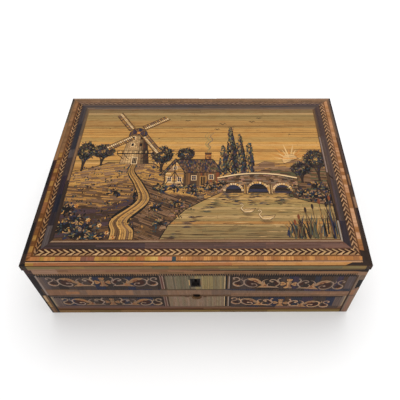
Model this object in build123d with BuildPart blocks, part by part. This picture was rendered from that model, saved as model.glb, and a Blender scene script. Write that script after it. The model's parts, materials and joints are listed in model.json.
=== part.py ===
from build123d import *
from math import radians, tan
import os

os.makedirs("parts", exist_ok=True)

# A flat work box in straw marquetry: a case with an upper compartment and a drawer, and a hinged lid.
# The origin is at the middle of the bottom, +X to the right, +Y to the back and +Z up. Millimetres.

# Lid and case, outside
lid_width = 300.0
lid_depth = 223.5
lid_overhang = 0.7
case_height = 87.0
lid_gap = 0.3

# Boards of the case
side_thickness = 7.4
back_thickness = 7.6
front_thickness = 9.0
bottom_thickness = 6.6
floor_thickness = 5.0
floor_housing = 2.0
drawer_opening_height = 32.0
rail_height = 12.0

# Straw skins and lining papers
straw_thickness = 0.4
paper_thickness = 0.2
paper_margin = 0.5
skin_lift = 0.3

# Partitions of the upper compartment
partition_thickness = 3.5
partition_height = 32.0
rear_cell_depth = 74.0
middle_cell_width = 104.0

# Layout of the front
front_centre_x = -2.0
tablet_width = 54.0
tablet_border = 6.0
band_height = 10.8

# Keyhole and lock
keyhole_width = 7.0
keyhole_height = 13.0
keyhole_drop = 24.0
lock_width = 44.0
lock_height = 31.0
lock_plate_thickness = 1.2
lock_cap_width = 34.0
lock_cap_height = 27.8
lock_cap_depth = 5.0
lock_cap_wall = 0.8
key_hole_radius = 2.4
key_slot_width = 2.2
key_slot_length = 6.5
key_pin_radius = 1.1
key_pin_rise = 2.5
lock_screw_rise = 3.5
lock_screw_drop = 7.0

# Bolt of the lock, and the loops on the lid that it passes through
loop_spacing = 16.0
loop_thickness = 1.6
loop_width = 3.4
loop_drop = 8.0
loop_hole_width = 2.0
loop_hole_height = 3.4
loop_foot = 1.0
slot_play = 0.4
bolt_travel = 4.5
bolt_play = 0.4
bolt_bar_height = 3.0
bolt_bar_thickness = 2.6
prong_length = 4.5
prong_thickness = 1.4
prong_root = 2.0
prong_tip_gap = 0.6
bolt_tail = 6.0
talon_width = 8.0
talon_drop = 4.0
talon_notch_radius = 2.0
spring_thickness = 0.5
spring_rise = 2.6
spring_play = 0.15
spring_foot = 1.0
link_plate_width = 36.0
link_plate_depth = 6.4
link_plate_thickness = 1.0
link_screw_spacing = 28.0

# Hinges
hinge_inset = 2.4
hinge_end_margin = 55.0
hinge_length = 32.0
barrel_radius = 1.4
barrel_play = 0.35
hinge_pin_radius = 0.6
hinge_pin_play = 0.03
hinge_pin_head = 0.4
hinge_pin_head_radius = 1.0
knuckle_play = 0.3
leaf_thickness = 0.8
leaf_margin = 0.4
leaf_screw_spacing = 10.0
lid_open_angle = 100.0

# Screws and carcase pins
screw_head_radius = 1.5
screw_head_height = 0.7
screw_shank_radius = 0.8
screw_length = 5.5
screw_play = 0.03
link_screw_length = 4.5
carcase_pin_radius = 0.7
carcase_pin_length = 18.0
carcase_pin_margin = 33.65
carcase_pin_end = 17.0
pin_play = 0.02

# Lid
lid_board_thickness = 6.2
lid_edge_height = 7.2
border_width = 24.5
border_rise = 3.5

# Drawer
drawer_side_play = 0.4
drawer_height_play = 0.3
drawer_front_thickness = 8.0
drawer_side_thickness = 5.0
drawer_bottom_thickness = 3.0
drawer_bottom_lift = 2.0
drawer_groove = 2.0
drawer_stop_width = 14.0
drawer_stop_depth = 6.0
drawer_stop_height = 8.0
drawer_stop_end_margin = 41.5
drawer_stop_gap = 0.3
drawer_border_bottom = 7.1
drawer_border_top = 2.9
drawer_border_end = 3.0
notch_width = 8.0
notch_depth = 8.0

# Planes worked out from the driving dimensions
lid_x = lid_width / 2
lid_y = lid_depth / 2
case_x = lid_x - lid_overhang
case_y = lid_y - lid_overhang
wood_x = case_x - straw_thickness
wood_y = case_y - straw_thickness
inner_x = wood_x - side_thickness
front_in = front_thickness - wood_y
back_in = wood_y - back_thickness
rail_low = bottom_thickness + drawer_opening_height
rail_high = rail_low + rail_height
floor_top = rail_low + floor_thickness
rim = case_height
lid_low = rim + lid_gap
lid_board_top = lid_low + lid_board_thickness
lid_edge_top = lid_low + lid_edge_height
picture_top = lid_edge_top + border_rise
hinge_y = case_y - hinge_inset
hinge_z = rim + lid_gap / 2
groove_slope = tan(radians(lid_open_angle / 2))
keyhole_z = rim - keyhole_drop
tablet_reach = tablet_width / 2 + tablet_border
tablet_x = (front_centre_x - tablet_reach, front_centre_x + tablet_reach)
panel_z = (rail_high, rim - band_height)


def block(x, y, z, mode=Mode.ADD):
    """A square-cornered block between the given pairs of planes."""
    with Locations(((x[0] + x[1]) / 2, (y[0] + y[1]) / 2, (z[0] + z[1]) / 2)):
        Box(x[1] - x[0], y[1] - y[0], z[1] - z[0], mode=mode)


def prism(points, half_length, mode=Mode.ADD):
    """A solid of one outline in Y and Z, as long in X on each side of the middle."""
    with BuildSketch(Plane.YZ) as outline:
        with BuildLine():
            Polyline(points, close=True)
        make_face()
    extrude(outline.sketch, amount=half_length, both=True, mode=mode)


def rod(start, direction, radius, length, mode=Mode.ADD):
    """A round rod from a point along a direction."""
    with Locations(Plane(origin=start, z_dir=direction)):
        Cylinder(radius, length, align=(Align.CENTER, Align.CENTER, Align.MIN), mode=mode)


def screw(head, direction, length, play=0.0, mode=Mode.ADD):
    """A countersunk screw, or with play the hole for it, from the middle of its head."""
    with Locations(Plane(origin=head, z_dir=direction)):
        Cone(
            screw_head_radius + play,
            screw_shank_radius + play,
            screw_head_height + play,
            align=(Align.CENTER, Align.CENTER, Align.MIN),
            mode=mode,
        )
    rod(head, direction, screw_shank_radius + play, length + play, mode)


def save(piece, name):
    """Labels a finished piece and writes it."""
    piece.part.label = name
    export_step(piece.part, f"parts/{name}.step")


# The V groove along the back, in which the hinges lie. Its two faces meet when the lid is fully open.
def case_groove():
    deep = lid_y - hinge_y
    high = [(hinge_y, rim), (lid_y, rim), (lid_y, rim - deep * groove_slope)]
    prism(high, lid_x, Mode.SUBTRACT)


def lid_groove():
    deep = lid_y - hinge_y
    low = [(hinge_y, lid_low), (lid_y, lid_low), (lid_y, lid_low + deep * groove_slope)]
    prism(low, lid_x, Mode.SUBTRACT)


# Carcase pins: heads on the side boards, points in the ends of the boards between them.
def carcase_pin_places():
    """(y, z) of each pin on one side: into the bottom, the back and the upper front board."""
    bottom_pin_y = wood_y - carcase_pin_margin
    into_bottom = [(place * bottom_pin_y, bottom_thickness / 2) for place in (-1, 0, 1)]
    back_y = (back_in + wood_y) / 2
    into_back = [(back_y, z) for z in (carcase_pin_end, rim / 2, rim - carcase_pin_end)]
    front_y = (front_in - wood_y) / 2
    front_middle = (rail_high + rim) / 2
    front_step = (rim - rail_high) / 4
    into_front = [(front_y, front_middle - front_step), (front_y, front_middle + front_step)]
    return into_bottom + into_back + into_front


def carcase_pin_set(play=0.0, mode=Mode.ADD):
    for side in (-1, 1):
        for y, z in carcase_pin_places():
            start = (side * wood_x, y, z)
            rod(start, (-side, 0, 0), carcase_pin_radius + play, carcase_pin_length + play, mode)


# Hinge places: the middle of each hinge, and its screws
hinge_middles = {"left": hinge_end_margin - lid_x, "right": lid_x - hinge_end_margin}
leaf_front = back_in + leaf_margin
leaf_screw_y = (leaf_front + hinge_y - barrel_radius) / 2
leaf_screw_xs = (-leaf_screw_spacing, 0.0, leaf_screw_spacing)


def hinge_mortise(middle, low, high):
    """The seat of one leaf, and the room round the barrel."""
    x = (middle - hinge_length / 2, middle + hinge_length / 2)
    block(x, (leaf_front, hinge_y), (low, high), Mode.SUBTRACT)
    reach = hinge_length / 2 + hinge_pin_head + barrel_play
    rod((middle - reach, hinge_y, hinge_z), (1, 0, 0), barrel_radius + barrel_play, 2 * reach, Mode.SUBTRACT)


def leaf_screws(middle, z, up, play=0.0, mode=Mode.ADD):
    for x in leaf_screw_xs:
        screw((middle + x, leaf_screw_y, z), (0, 0, up), screw_length, play, mode)


# Lock places
lock_x = front_centre_x
plate_out = front_in - lock_plate_thickness
cap_out = plate_out - lock_cap_depth
cap_x = (lock_x - lock_cap_width / 2, lock_x + lock_cap_width / 2)
plate_x = (lock_x - lock_width / 2, lock_x + lock_width / 2)
flange_low = rim - lock_plate_thickness
cap_z = (flange_low - lock_cap_height, flange_low)
cavity_x = (cap_x[0] + lock_cap_wall, cap_x[1] - lock_cap_wall)
cavity_y = (cap_out + lock_cap_wall, plate_out)
cavity_z = (cap_z[0] + lock_cap_wall, cap_z[1] - lock_cap_wall)
loop_y = (cavity_y[0] + cavity_y[1]) / 2
loop_xs = (lock_x - loop_spacing / 2, lock_x + loop_spacing / 2)
loop_low = rim - loop_drop
loop_hole_z = (loop_low + loop_foot, loop_low + loop_foot + loop_hole_height)
key_z = keyhole_z + key_pin_rise
screw_margin = (lock_width - lock_cap_width) / 4
lock_screw_xs = (plate_x[0] + screw_margin, plate_x[1] - screw_margin)
lock_screw_zs = (rim - lock_height + lock_screw_rise, rim - lock_screw_drop)
link_screw_xs = (lock_x - link_screw_spacing / 2, lock_x + link_screw_spacing / 2)
keyhole_x = (lock_x - keyhole_width / 2, lock_x + keyhole_width / 2)
keyhole_span = (keyhole_z - keyhole_height / 2, keyhole_z + keyhole_height / 2)


def loop_slots(z):
    """Slots that let the two loops through, between two heights."""
    for x in loop_xs:
        reach_x = loop_thickness / 2 + slot_play
        reach_y = loop_width / 2 + slot_play
        block((x - reach_x, x + reach_x), (loop_y - reach_y, loop_y + reach_y), z, Mode.SUBTRACT)


def lock_screw_set(play=0.0, mode=Mode.ADD):
    for x in lock_screw_xs:
        for z in lock_screw_zs:
            screw((x, front_in, z), (0, -1, 0), screw_length, play, mode)


def link_screw_set(play=0.0, mode=Mode.ADD):
    for x in link_screw_xs:
        screw((x, loop_y, lid_low), (0, 0, 1), link_screw_length, play, mode)


# Case: the bottom board, between the sides
with BuildPart() as bottom_board:
    block((-inner_x, inner_x), (-wood_y, wood_y), (0, bottom_thickness))
    carcase_pin_set(pin_play, Mode.SUBTRACT)
save(bottom_board, "bottom_board")

# Case: the side boards, standing on the table, grooved for the compartment floor
for side, name in ((-1, "left_side_board"), (1, "right_side_board")):
    with BuildPart() as side_board:
        across = sorted((side * inner_x, side * wood_x))
        block(across, (-wood_y, wood_y), (0, rim))
        housing = sorted((side * inner_x, side * (inner_x + floor_housing)))
        block(housing, (front_in, back_in), (rail_low, floor_top), Mode.SUBTRACT)
        carcase_pin_set(pin_play, Mode.SUBTRACT)
        case_groove()
    save(side_board, name)

# Case: the back board, with the seats of the hinges in its top edge
with BuildPart() as back_board:
    block((-inner_x, inner_x), (back_in, wood_y), (bottom_thickness, rim))
    case_groove()
    for middle in hinge_middles.values():
        hinge_mortise(middle, rim - leaf_thickness, rim)
        leaf_screws(middle, rim, -1, screw_play, Mode.SUBTRACT)
    carcase_pin_set(pin_play, Mode.SUBTRACT)
save(back_board, "back_board")

# Case: the front of the upper compartment, with the keyhole and the seat of the lock behind it
with BuildPart() as upper_front_board:
    block((-inner_x, inner_x), (-wood_y, front_in), (rail_high, rim))
    block(cap_x, (cap_out, front_in), (cap_z[0], rim), Mode.SUBTRACT)
    block(plate_x, (plate_out, front_in), (rim - lock_height, rim), Mode.SUBTRACT)
    block(plate_x, (cap_out, front_in), (flange_low, rim), Mode.SUBTRACT)
    block(keyhole_x, (-wood_y, cap_out), keyhole_span, Mode.SUBTRACT)
    lock_screw_set(screw_play, Mode.SUBTRACT)
    carcase_pin_set(pin_play, Mode.SUBTRACT)
save(upper_front_board, "upper_front_board")

# Case: the rail over the drawer
with BuildPart() as front_rail:
    block((-inner_x, inner_x), (-wood_y, front_in), (rail_low, rail_high))
save(front_rail, "front_rail")

# Case: the floor of the compartment, housed in the side boards
with BuildPart() as compartment_floor:
    housed_x = inner_x + floor_housing
    block((-housed_x, housed_x), (front_in, back_in), (rail_low, floor_top))
save(compartment_floor, "compartment_floor")

# Case: the partitions, one long and two across behind it
partition_z = (floor_top, floor_top + partition_height)
long_y = (back_in - rear_cell_depth - partition_thickness, back_in - rear_cell_depth)
with BuildPart() as long_partition:
    block((-inner_x, inner_x), long_y, partition_z)
save(long_partition, "long_partition")

for side, name in ((-1, "left_cross_partition"), (1, "right_cross_partition")):
    with BuildPart() as cross_partition:
        near = side * middle_cell_width / 2
        across = sorted((near, near + side * partition_thickness))
        block(across, (long_y[1], back_in), partition_z)
    save(cross_partition, name)

# Case: the papers on the floors of the four cells
rear_wall = middle_cell_width / 2 + partition_thickness
cells = (
    ((-inner_x, inner_x), (front_in, long_y[0])),
    ((-inner_x, -rear_wall), (long_y[1], back_in)),
    ((-middle_cell_width / 2, middle_cell_width / 2), (long_y[1], back_in)),
    ((rear_wall, inner_x), (long_y[1], back_in)),
)
with BuildPart() as compartment_papers:
    for cell_x, cell_y in cells:
        block(
            (cell_x[0] + paper_margin, cell_x[1] - paper_margin),
            (cell_y[0] + paper_margin, cell_y[1] - paper_margin),
            (floor_top, floor_top + paper_thickness),
        )
save(compartment_papers, "compartment_papers")

# Case: the stops behind the drawer
with BuildPart() as drawer_stops:
    for side in (-1, 1):
        middle = side * (inner_x - drawer_stop_end_margin)
        block(
            (middle - drawer_stop_width / 2, middle + drawer_stop_width / 2),
            (back_in - drawer_stop_depth, back_in),
            (bottom_thickness, bottom_thickness + drawer_stop_height),
        )
save(drawer_stops, "drawer_stops")

with BuildPart() as carcase_pins:
    carcase_pin_set()
save(carcase_pins, "carcase_pins")

# Straw skins of the case: the sides and the back
for side, name in ((-1, "left_side_straw"), (1, "right_side_straw")):
    with BuildPart() as side_straw:
        block(sorted((side * wood_x, side * case_x)), (-wood_y, wood_y), (skin_lift, rim))
        case_groove()
    save(side_straw, name)

with BuildPart() as back_straw:
    block((-case_x, case_x), (wood_y, case_y), (skin_lift, rim))
    case_groove()
save(back_straw, "back_straw")

# Straw skins of the case front
skin_y = (-case_y, -wood_y)
with BuildPart() as front_band_straw:
    block((-case_x, case_x), skin_y, (rim - band_height, rim))
save(front_band_straw, "front_band_straw")

with BuildPart() as upper_left_scroll_panel:
    block((-inner_x, tablet_x[0]), skin_y, panel_z)
save(upper_left_scroll_panel, "upper_left_scroll_panel")

with BuildPart() as upper_right_scroll_panel:
    block((tablet_x[1], inner_x), skin_y, panel_z)
save(upper_right_scroll_panel, "upper_right_scroll_panel")

with BuildPart() as keyhole_tablet_straw:
    block(tablet_x, skin_y, panel_z)
    block(keyhole_x, skin_y, keyhole_span, Mode.SUBTRACT)
save(keyhole_tablet_straw, "keyhole_tablet_straw")

with BuildPart() as front_rail_straw:
    block((-inner_x, inner_x), skin_y, (rail_low, rail_high))
save(front_rail_straw, "front_rail_straw")

with BuildPart() as stile_straw:
    for side in (-1, 1):
        block(sorted((side * inner_x, side * case_x)), skin_y, (skin_lift, rim - band_height))
save(stile_straw, "stile_straw")

with BuildPart() as bottom_edge_straw:
    block((-inner_x, inner_x), skin_y, (skin_lift, bottom_thickness))
save(bottom_edge_straw, "bottom_edge_straw")

# Lock: the plate with its top flange, slots for the loops and the pin for the hollow key
with BuildPart() as lock_plate:
    block(plate_x, (plate_out, front_in), (rim - lock_height, rim))
    block(plate_x, (cap_out, front_in), (flange_low, rim))
    loop_slots((flange_low, rim))
    rod((lock_x, plate_out, key_z), (0, -1, 0), key_pin_radius, lock_cap_depth)
    lock_screw_set(screw_play, Mode.SUBTRACT)
save(lock_plate, "lock_plate")

# Lock: the cap over the works, with the hole that the key goes through
with BuildPart() as lock_cap:
    block(cap_x, (cap_out, plate_out), cap_z)
    block(cavity_x, cavity_y, cavity_z, Mode.SUBTRACT)
    loop_slots((cavity_z[1], cap_z[1]))
    rod((lock_x, cap_out, key_z), (0, 1, 0), key_hole_radius, lock_cap_wall, Mode.SUBTRACT)
    key_slot_x = (lock_x - key_slot_width / 2, lock_x + key_slot_width / 2)
    block(key_slot_x, (cap_out, cavity_y[0]), (key_z - key_slot_length, key_z), Mode.SUBTRACT)
save(lock_cap, "lock_cap")

# Lock: the bolt, a bar with two prongs for the loops and a talon for the key
bar_z = (loop_low - bolt_play - bolt_bar_height, loop_low - bolt_play)
prong_z = (loop_hole_z[0] + bolt_play, loop_hole_z[1] - bolt_play)
tip_back = loop_thickness / 2 + prong_tip_gap
root_back = tip_back + prong_length + prong_root
bar_x = (loop_xs[0] - root_back, loop_xs[1] - tip_back - prong_length + bolt_tail)
bar_y = (loop_y - bolt_bar_thickness / 2, loop_y + bolt_bar_thickness / 2)
prong_y = (loop_y - prong_thickness / 2, loop_y + prong_thickness / 2)
talon_x = (lock_x - talon_width / 2 - bolt_travel / 2, lock_x + talon_width / 2 - bolt_travel / 2)
with BuildPart() as lock_bolt:
    block(bar_x, bar_y, bar_z)
    for x in loop_xs:
        block((x - root_back, x - root_back + prong_root), prong_y, (bar_z[1], prong_z[1]))
        block((x - root_back, x - tip_back), prong_y, prong_z)
    block(talon_x, bar_y, (bar_z[0] - talon_drop, bar_z[0]))
    notch_middle = ((talon_x[0] + talon_x[1]) / 2, bar_y[0], bar_z[0] - talon_drop)
    rod(notch_middle, (0, 1, 0), talon_notch_radius, bolt_bar_thickness, Mode.SUBTRACT)
save(lock_bolt, "lock_bolt")

# Lock: the bowed leaf spring under the bolt, held at one end in the wall of the cap
with BuildPart() as lock_spring:
    spring_x = (cavity_x[0] + spring_foot, talon_x[0] - bolt_play)
    spring_middle = (spring_x[0] + spring_x[1]) / 2
    spring_top = bar_z[0] - spring_play
    spring_low = spring_top - spring_rise
    inside_x = (spring_x[0] + spring_thickness, spring_x[1] - spring_thickness)
    with BuildSketch(Plane.XZ.offset(-bar_y[1])):
        with BuildLine():
            ThreePointArc((spring_x[0], spring_low), (spring_middle, spring_top), (spring_x[1], spring_low))
            Line((spring_x[1], spring_low), (inside_x[1], spring_low))
            inside_top = (spring_middle, spring_top - spring_thickness)
            ThreePointArc((inside_x[1], spring_low), inside_top, (inside_x[0], spring_low))
            Line((inside_x[0], spring_low), (spring_x[0], spring_low))
        make_face()
    extrude(amount=bolt_bar_thickness)
    block((cavity_x[0], inside_x[0]), bar_y, (spring_low - spring_foot, spring_low))
save(lock_spring, "lock_spring")

with BuildPart() as lock_screws:
    lock_screw_set()
save(lock_screws, "lock_screws")

# Hinges: a case leaf with two knuckles, a lid leaf with one, and a pin with a head at each end
knuckle = hinge_length / 3
bore_radius = hinge_pin_radius + hinge_pin_play
room_radius = barrel_radius + barrel_play


def hinge_leaf(middle, leaf_z, up, knuckles):
    """One leaf: the plate, its knuckles, room for the other leaf's, the bore and the screw holes."""
    low = middle - hinge_length / 2
    block((low, low + hinge_length), (leaf_front, hinge_y), leaf_z)
    rod((low, hinge_y, hinge_z), (1, 0, 0), room_radius, hinge_length, Mode.SUBTRACT)
    for start, end in knuckles:
        rod((low + start, hinge_y, hinge_z), (1, 0, 0), barrel_radius, end - start)
        neck_y = (hinge_y - room_radius - leaf_thickness, hinge_y)
        block((low + start, low + end), neck_y, leaf_z)
    rod((low, hinge_y, hinge_z), (1, 0, 0), bore_radius, hinge_length, Mode.SUBTRACT)
    leaf_screws(middle, leaf_z[1] if up < 0 else leaf_z[0], up, screw_play, Mode.SUBTRACT)


outer_knuckles = ((0.0, knuckle - knuckle_play), (2 * knuckle + knuckle_play, hinge_length))
for side, middle in hinge_middles.items():
    with BuildPart() as case_leaf:
        hinge_leaf(middle, (rim - leaf_thickness, rim), -1, outer_knuckles)
    save(case_leaf, f"{side}_hinge_case_leaf")

    with BuildPart() as lid_leaf:
        hinge_leaf(middle, (lid_low, lid_low + leaf_thickness), 1, ((knuckle, 2 * knuckle),))
    save(lid_leaf, f"{side}_hinge_lid_leaf")

with BuildPart() as hinge_pins:
    for middle in hinge_middles.values():
        end = middle - hinge_length / 2
        rod((end, hinge_y, hinge_z), (1, 0, 0), hinge_pin_radius, hinge_length)
        rod((end, hinge_y, hinge_z), (-1, 0, 0), hinge_pin_head_radius, hinge_pin_head)
        rod((end + hinge_length, hinge_y, hinge_z), (1, 0, 0), hinge_pin_head_radius, hinge_pin_head)
save(hinge_pins, "hinge_pins")

with BuildPart() as hinge_case_screws:
    for middle in hinge_middles.values():
        leaf_screws(middle, rim, -1)
save(hinge_case_screws, "hinge_case_screws")

with BuildPart() as hinge_lid_screws:
    for middle in hinge_middles.values():
        leaf_screws(middle, lid_low, 1)
save(hinge_lid_screws, "hinge_lid_screws")

# Lid: the board, with the seats of the hinges and of the link plate in its underside
edge_x = lid_x - straw_thickness
edge_y = lid_y - straw_thickness
link_x = (lock_x - link_plate_width / 2, lock_x + link_plate_width / 2)
link_y = (loop_y - link_plate_depth / 2, loop_y + link_plate_depth / 2)
link_z = (lid_low, lid_low + link_plate_thickness)
with BuildPart() as lid_board:
    block((-edge_x, edge_x), (-edge_y, edge_y), (lid_low, lid_board_top))
    lid_groove()
    for middle in hinge_middles.values():
        hinge_mortise(middle, lid_low, lid_low + leaf_thickness)
        leaf_screws(middle, lid_low, 1, screw_play, Mode.SUBTRACT)
    block(link_x, link_y, link_z, Mode.SUBTRACT)
    link_screw_set(screw_play, Mode.SUBTRACT)
save(lid_board, "lid_board")

# Lid: the four sloping sides of the border, mitred at the corners
border_sides = {
    "front": ((0, 1, 0), (1, 0, 0), lid_y, lid_x),
    "back": ((0, -1, 0), (-1, 0, 0), lid_y, lid_x),
    "left": ((1, 0, 0), (0, -1, 0), lid_x, lid_y),
    "right": ((-1, 0, 0), (0, 1, 0), lid_x, lid_y),
}


def border_piece(inward, along, distance, half_length, outline):
    """One mitred side: an outline in (inwards, up), drawn from the lid's edge and cut at both corners."""
    inward, along = Vector(*inward), Vector(*along)
    edge = inward * -distance
    with BuildSketch(Plane(origin=edge, x_dir=inward, z_dir=along)) as section:
        with BuildLine():
            Polyline(outline, close=True)
        make_face()
    extrude(section.sketch, amount=half_length, both=True)
    for end in (-1, 1):
        corner = edge + along * (end * half_length)
        split(bisect_by=Plane(origin=corner, z_dir=inward * -1 - along * end), keep=Keep.TOP)


slope = border_rise / border_width
under_outer = lid_edge_top - straw_thickness
under_inner = picture_top - straw_thickness
moulding_outline = [
    (straw_thickness, lid_board_top),
    (border_width, lid_board_top),
    (border_width, under_inner),
    (straw_thickness, under_outer + slope * straw_thickness),
]
border_outline = [
    (0, under_outer),
    (border_width, under_inner),
    (border_width, picture_top),
    (0, lid_edge_top),
]
for side, placing in border_sides.items():
    with BuildPart() as moulding:
        border_piece(*placing, moulding_outline)
    save(moulding, f"lid_moulding_{side}")

    with BuildPart() as border_straw:
        border_piece(*placing, border_outline)
    save(border_straw, f"lid_border_straw_{side}")

# Lid: the board under the picture, and the picture in straw
picture_x = lid_x - border_width
picture_y = lid_y - border_width
with BuildPart() as picture_board:
    block((-picture_x, picture_x), (-picture_y, picture_y), (lid_board_top, under_inner))
save(picture_board, "picture_board")

with BuildPart() as picture_straw:
    block((-picture_x, picture_x), (-picture_y, picture_y), (under_inner, picture_top))
save(picture_straw, "picture_straw")

# Lid: the straw round its edge, and the paper inside it
with BuildPart() as lid_edge_straw:
    block((-lid_x, lid_x), (-lid_y, lid_y), (lid_low, under_outer))
    block((-edge_x, edge_x), (-edge_y, edge_y), (lid_low, under_outer), Mode.SUBTRACT)
    lid_groove()
save(lid_edge_straw, "lid_edge_straw")

lid_paper_y = (link_y[1] + paper_margin, leaf_front - paper_margin)
with BuildPart() as lid_paper:
    paper_x = inner_x - paper_margin
    block((-paper_x, paper_x), lid_paper_y, (lid_low - paper_thickness, lid_low))
save(lid_paper, "lid_paper")

# Lid: the link plate, whose loops reach down into the lock
with BuildPart() as link_plate:
    block(link_x, link_y, link_z)
    for x in loop_xs:
        across = (x - loop_thickness / 2, x + loop_thickness / 2)
        block(across, (loop_y - loop_width / 2, loop_y + loop_width / 2), (loop_low, lid_low))
        hole_y = (loop_y - loop_hole_width / 2, loop_y + loop_hole_width / 2)
        block(across, hole_y, loop_hole_z, Mode.SUBTRACT)
    link_screw_set(screw_play, Mode.SUBTRACT)
save(link_plate, "link_plate")

with BuildPart() as link_plate_screws:
    link_screw_set()
save(link_plate_screws, "link_plate_screws")

# Drawer: its outer planes
drawer_x = inner_x - drawer_side_play
drawer_low = bottom_thickness + drawer_height_play
drawer_high = rail_low - drawer_height_play
drawer_front_in = drawer_front_thickness - wood_y
drawer_end = back_in - drawer_stop_depth - drawer_stop_gap
drawer_back_in = drawer_end - drawer_side_thickness
drawer_inner_x = drawer_x - drawer_side_thickness
drawer_bottom_low = drawer_low + drawer_bottom_lift
drawer_bottom_z = (drawer_bottom_low, drawer_bottom_low + drawer_bottom_thickness)
groove_y = (drawer_front_in - drawer_groove, drawer_front_in)


def notch(y):
    """The round-bottomed notch in the top edge of the drawer front."""
    radius = notch_width / 2
    bottom = drawer_high - notch_depth + radius
    block((front_centre_x - radius, front_centre_x + radius), y, (bottom, drawer_high), Mode.SUBTRACT)
    rod((front_centre_x, y[0], bottom), (0, 1, 0), radius, y[1] - y[0], Mode.SUBTRACT)


with BuildPart() as drawer_front:
    block((-drawer_x, drawer_x), (-wood_y, drawer_front_in), (drawer_low, drawer_high))
    block((-drawer_inner_x, drawer_inner_x), groove_y, drawer_bottom_z, Mode.SUBTRACT)
    notch((-wood_y, drawer_front_in))
save(drawer_front, "drawer_front")

for side, name in ((-1, "drawer_left_side"), (1, "drawer_right_side")):
    with BuildPart() as drawer_side:
        across = sorted((side * drawer_inner_x, side * drawer_x))
        block(across, (drawer_front_in, drawer_end), (drawer_low, drawer_high))
        groove_x = sorted((side * drawer_inner_x, side * (drawer_inner_x + drawer_groove)))
        block(groove_x, (drawer_front_in, drawer_end), drawer_bottom_z, Mode.SUBTRACT)
    save(drawer_side, name)

with BuildPart() as drawer_bottom:
    grooved_x = drawer_inner_x + drawer_groove
    block((-grooved_x, grooved_x), (drawer_front_in, drawer_end), drawer_bottom_z)
    block((-drawer_inner_x, drawer_inner_x), groove_y, drawer_bottom_z)
save(drawer_bottom, "drawer_bottom")

with BuildPart() as drawer_back:
    block((-drawer_inner_x, drawer_inner_x), (drawer_back_in, drawer_end), (drawer_bottom_z[1], drawer_high))
save(drawer_back, "drawer_back")

with BuildPart() as drawer_paper:
    paper_x = drawer_inner_x - paper_margin
    paper_y = (drawer_front_in + paper_margin, drawer_back_in - paper_margin)
    block((-paper_x, paper_x), paper_y, (drawer_bottom_z[1], drawer_bottom_z[1] + paper_thickness))
save(drawer_paper, "drawer_paper")

# Drawer: the straw of its front, a border round two scroll panels and a tablet
drawer_panel_x = drawer_x - drawer_border_end
drawer_panel_z = (drawer_low + drawer_border_bottom, drawer_high - drawer_border_top)
with BuildPart() as drawer_border_straw:
    block((-drawer_x, drawer_x), skin_y, (drawer_low, drawer_high))
    block((-drawer_panel_x, drawer_panel_x), skin_y, drawer_panel_z, Mode.SUBTRACT)
    notch(skin_y)
save(drawer_border_straw, "drawer_border_straw")

with BuildPart() as drawer_left_scroll_panel:
    block((-drawer_panel_x, tablet_x[0]), skin_y, drawer_panel_z)
save(drawer_left_scroll_panel, "drawer_left_scroll_panel")

with BuildPart() as drawer_right_scroll_panel:
    block((tablet_x[1], drawer_panel_x), skin_y, drawer_panel_z)
save(drawer_right_scroll_panel, "drawer_right_scroll_panel")

with BuildPart() as drawer_tablet_straw:
    block(tablet_x, skin_y, drawer_panel_z)
    notch(skin_y)
save(drawer_tablet_straw, "drawer_tablet_straw")
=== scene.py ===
import json
import math
import random

import bpy
from mathutils import Matrix, Vector


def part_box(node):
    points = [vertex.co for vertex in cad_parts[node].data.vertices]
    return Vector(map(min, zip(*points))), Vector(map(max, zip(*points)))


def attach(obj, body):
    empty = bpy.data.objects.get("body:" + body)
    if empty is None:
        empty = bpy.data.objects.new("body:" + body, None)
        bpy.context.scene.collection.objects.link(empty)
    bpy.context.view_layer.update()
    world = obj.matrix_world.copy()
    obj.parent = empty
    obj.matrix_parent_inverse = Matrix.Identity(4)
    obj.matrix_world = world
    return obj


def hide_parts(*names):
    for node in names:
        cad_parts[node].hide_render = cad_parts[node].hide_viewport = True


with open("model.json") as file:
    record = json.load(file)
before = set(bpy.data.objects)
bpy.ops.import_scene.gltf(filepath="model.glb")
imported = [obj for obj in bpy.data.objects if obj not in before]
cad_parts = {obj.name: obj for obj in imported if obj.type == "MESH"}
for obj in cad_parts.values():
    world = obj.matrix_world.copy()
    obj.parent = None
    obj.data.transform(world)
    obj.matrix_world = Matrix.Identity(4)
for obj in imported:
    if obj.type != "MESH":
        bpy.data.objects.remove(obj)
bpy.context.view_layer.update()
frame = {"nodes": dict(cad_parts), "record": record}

# Lengths in this script are in millimetres on the box, and MM turns them into Blender's metres.
MM = 0.001
rng = random.Random(11)
between = rng.uniform


def rgb(red, green, blue):
    """A colour as it is read off a screen, as the linear numbers that a shader takes."""
    share = [c / 255 for c in (red, green, blue)]
    return tuple(c / 12.92 if c <= 0.04045 else ((c + 0.055) / 1.055) ** 2.4 for c in share)


def span(node):
    """Where a CAD node begins and ends along X, Y and Z, in millimetres."""
    low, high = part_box(node)
    return [(low[i] / MM, high[i] / MM) for i in range(3)]


# Colours of the straw
CREAM = rgb(216, 182, 136)
PALE = rgb(206, 166, 112)
GOLD = rgb(190, 142, 76)
HONEY = rgb(168, 122, 66)
AMBER = rgb(184, 122, 60)
OLIVE = rgb(142, 120, 74)
SAGE = rgb(116, 102, 68)
MOSS = rgb(84, 78, 52)
SAND = rgb(152, 116, 84)
ROSE = rgb(146, 104, 86)
GREYED = rgb(120, 100, 80)
FAWN = rgb(124, 92, 66)
BROWN = rgb(104, 74, 46)
RUST = rgb(116, 62, 36)
UMBER = rgb(70, 50, 36)
DARK = rgb(46, 34, 28)
PLUM = rgb(76, 56, 58)
VIOLET = rgb(58, 46, 60)
NAVY = rgb(40, 42, 60)
TEAL = rgb(48, 60, 64)
BLACK = rgb(22, 18, 17)
GLUE = rgb(44, 32, 26)


def mixed(a, b, share):
    return tuple(x + (y - x) * share for x, y in zip(a, b))


def varied(tint, amount=0.1):
    """A tint made a little lighter or darker at random."""
    factor = 1 + between(-amount, amount)
    return tuple(c * factor for c in tint)


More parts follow.
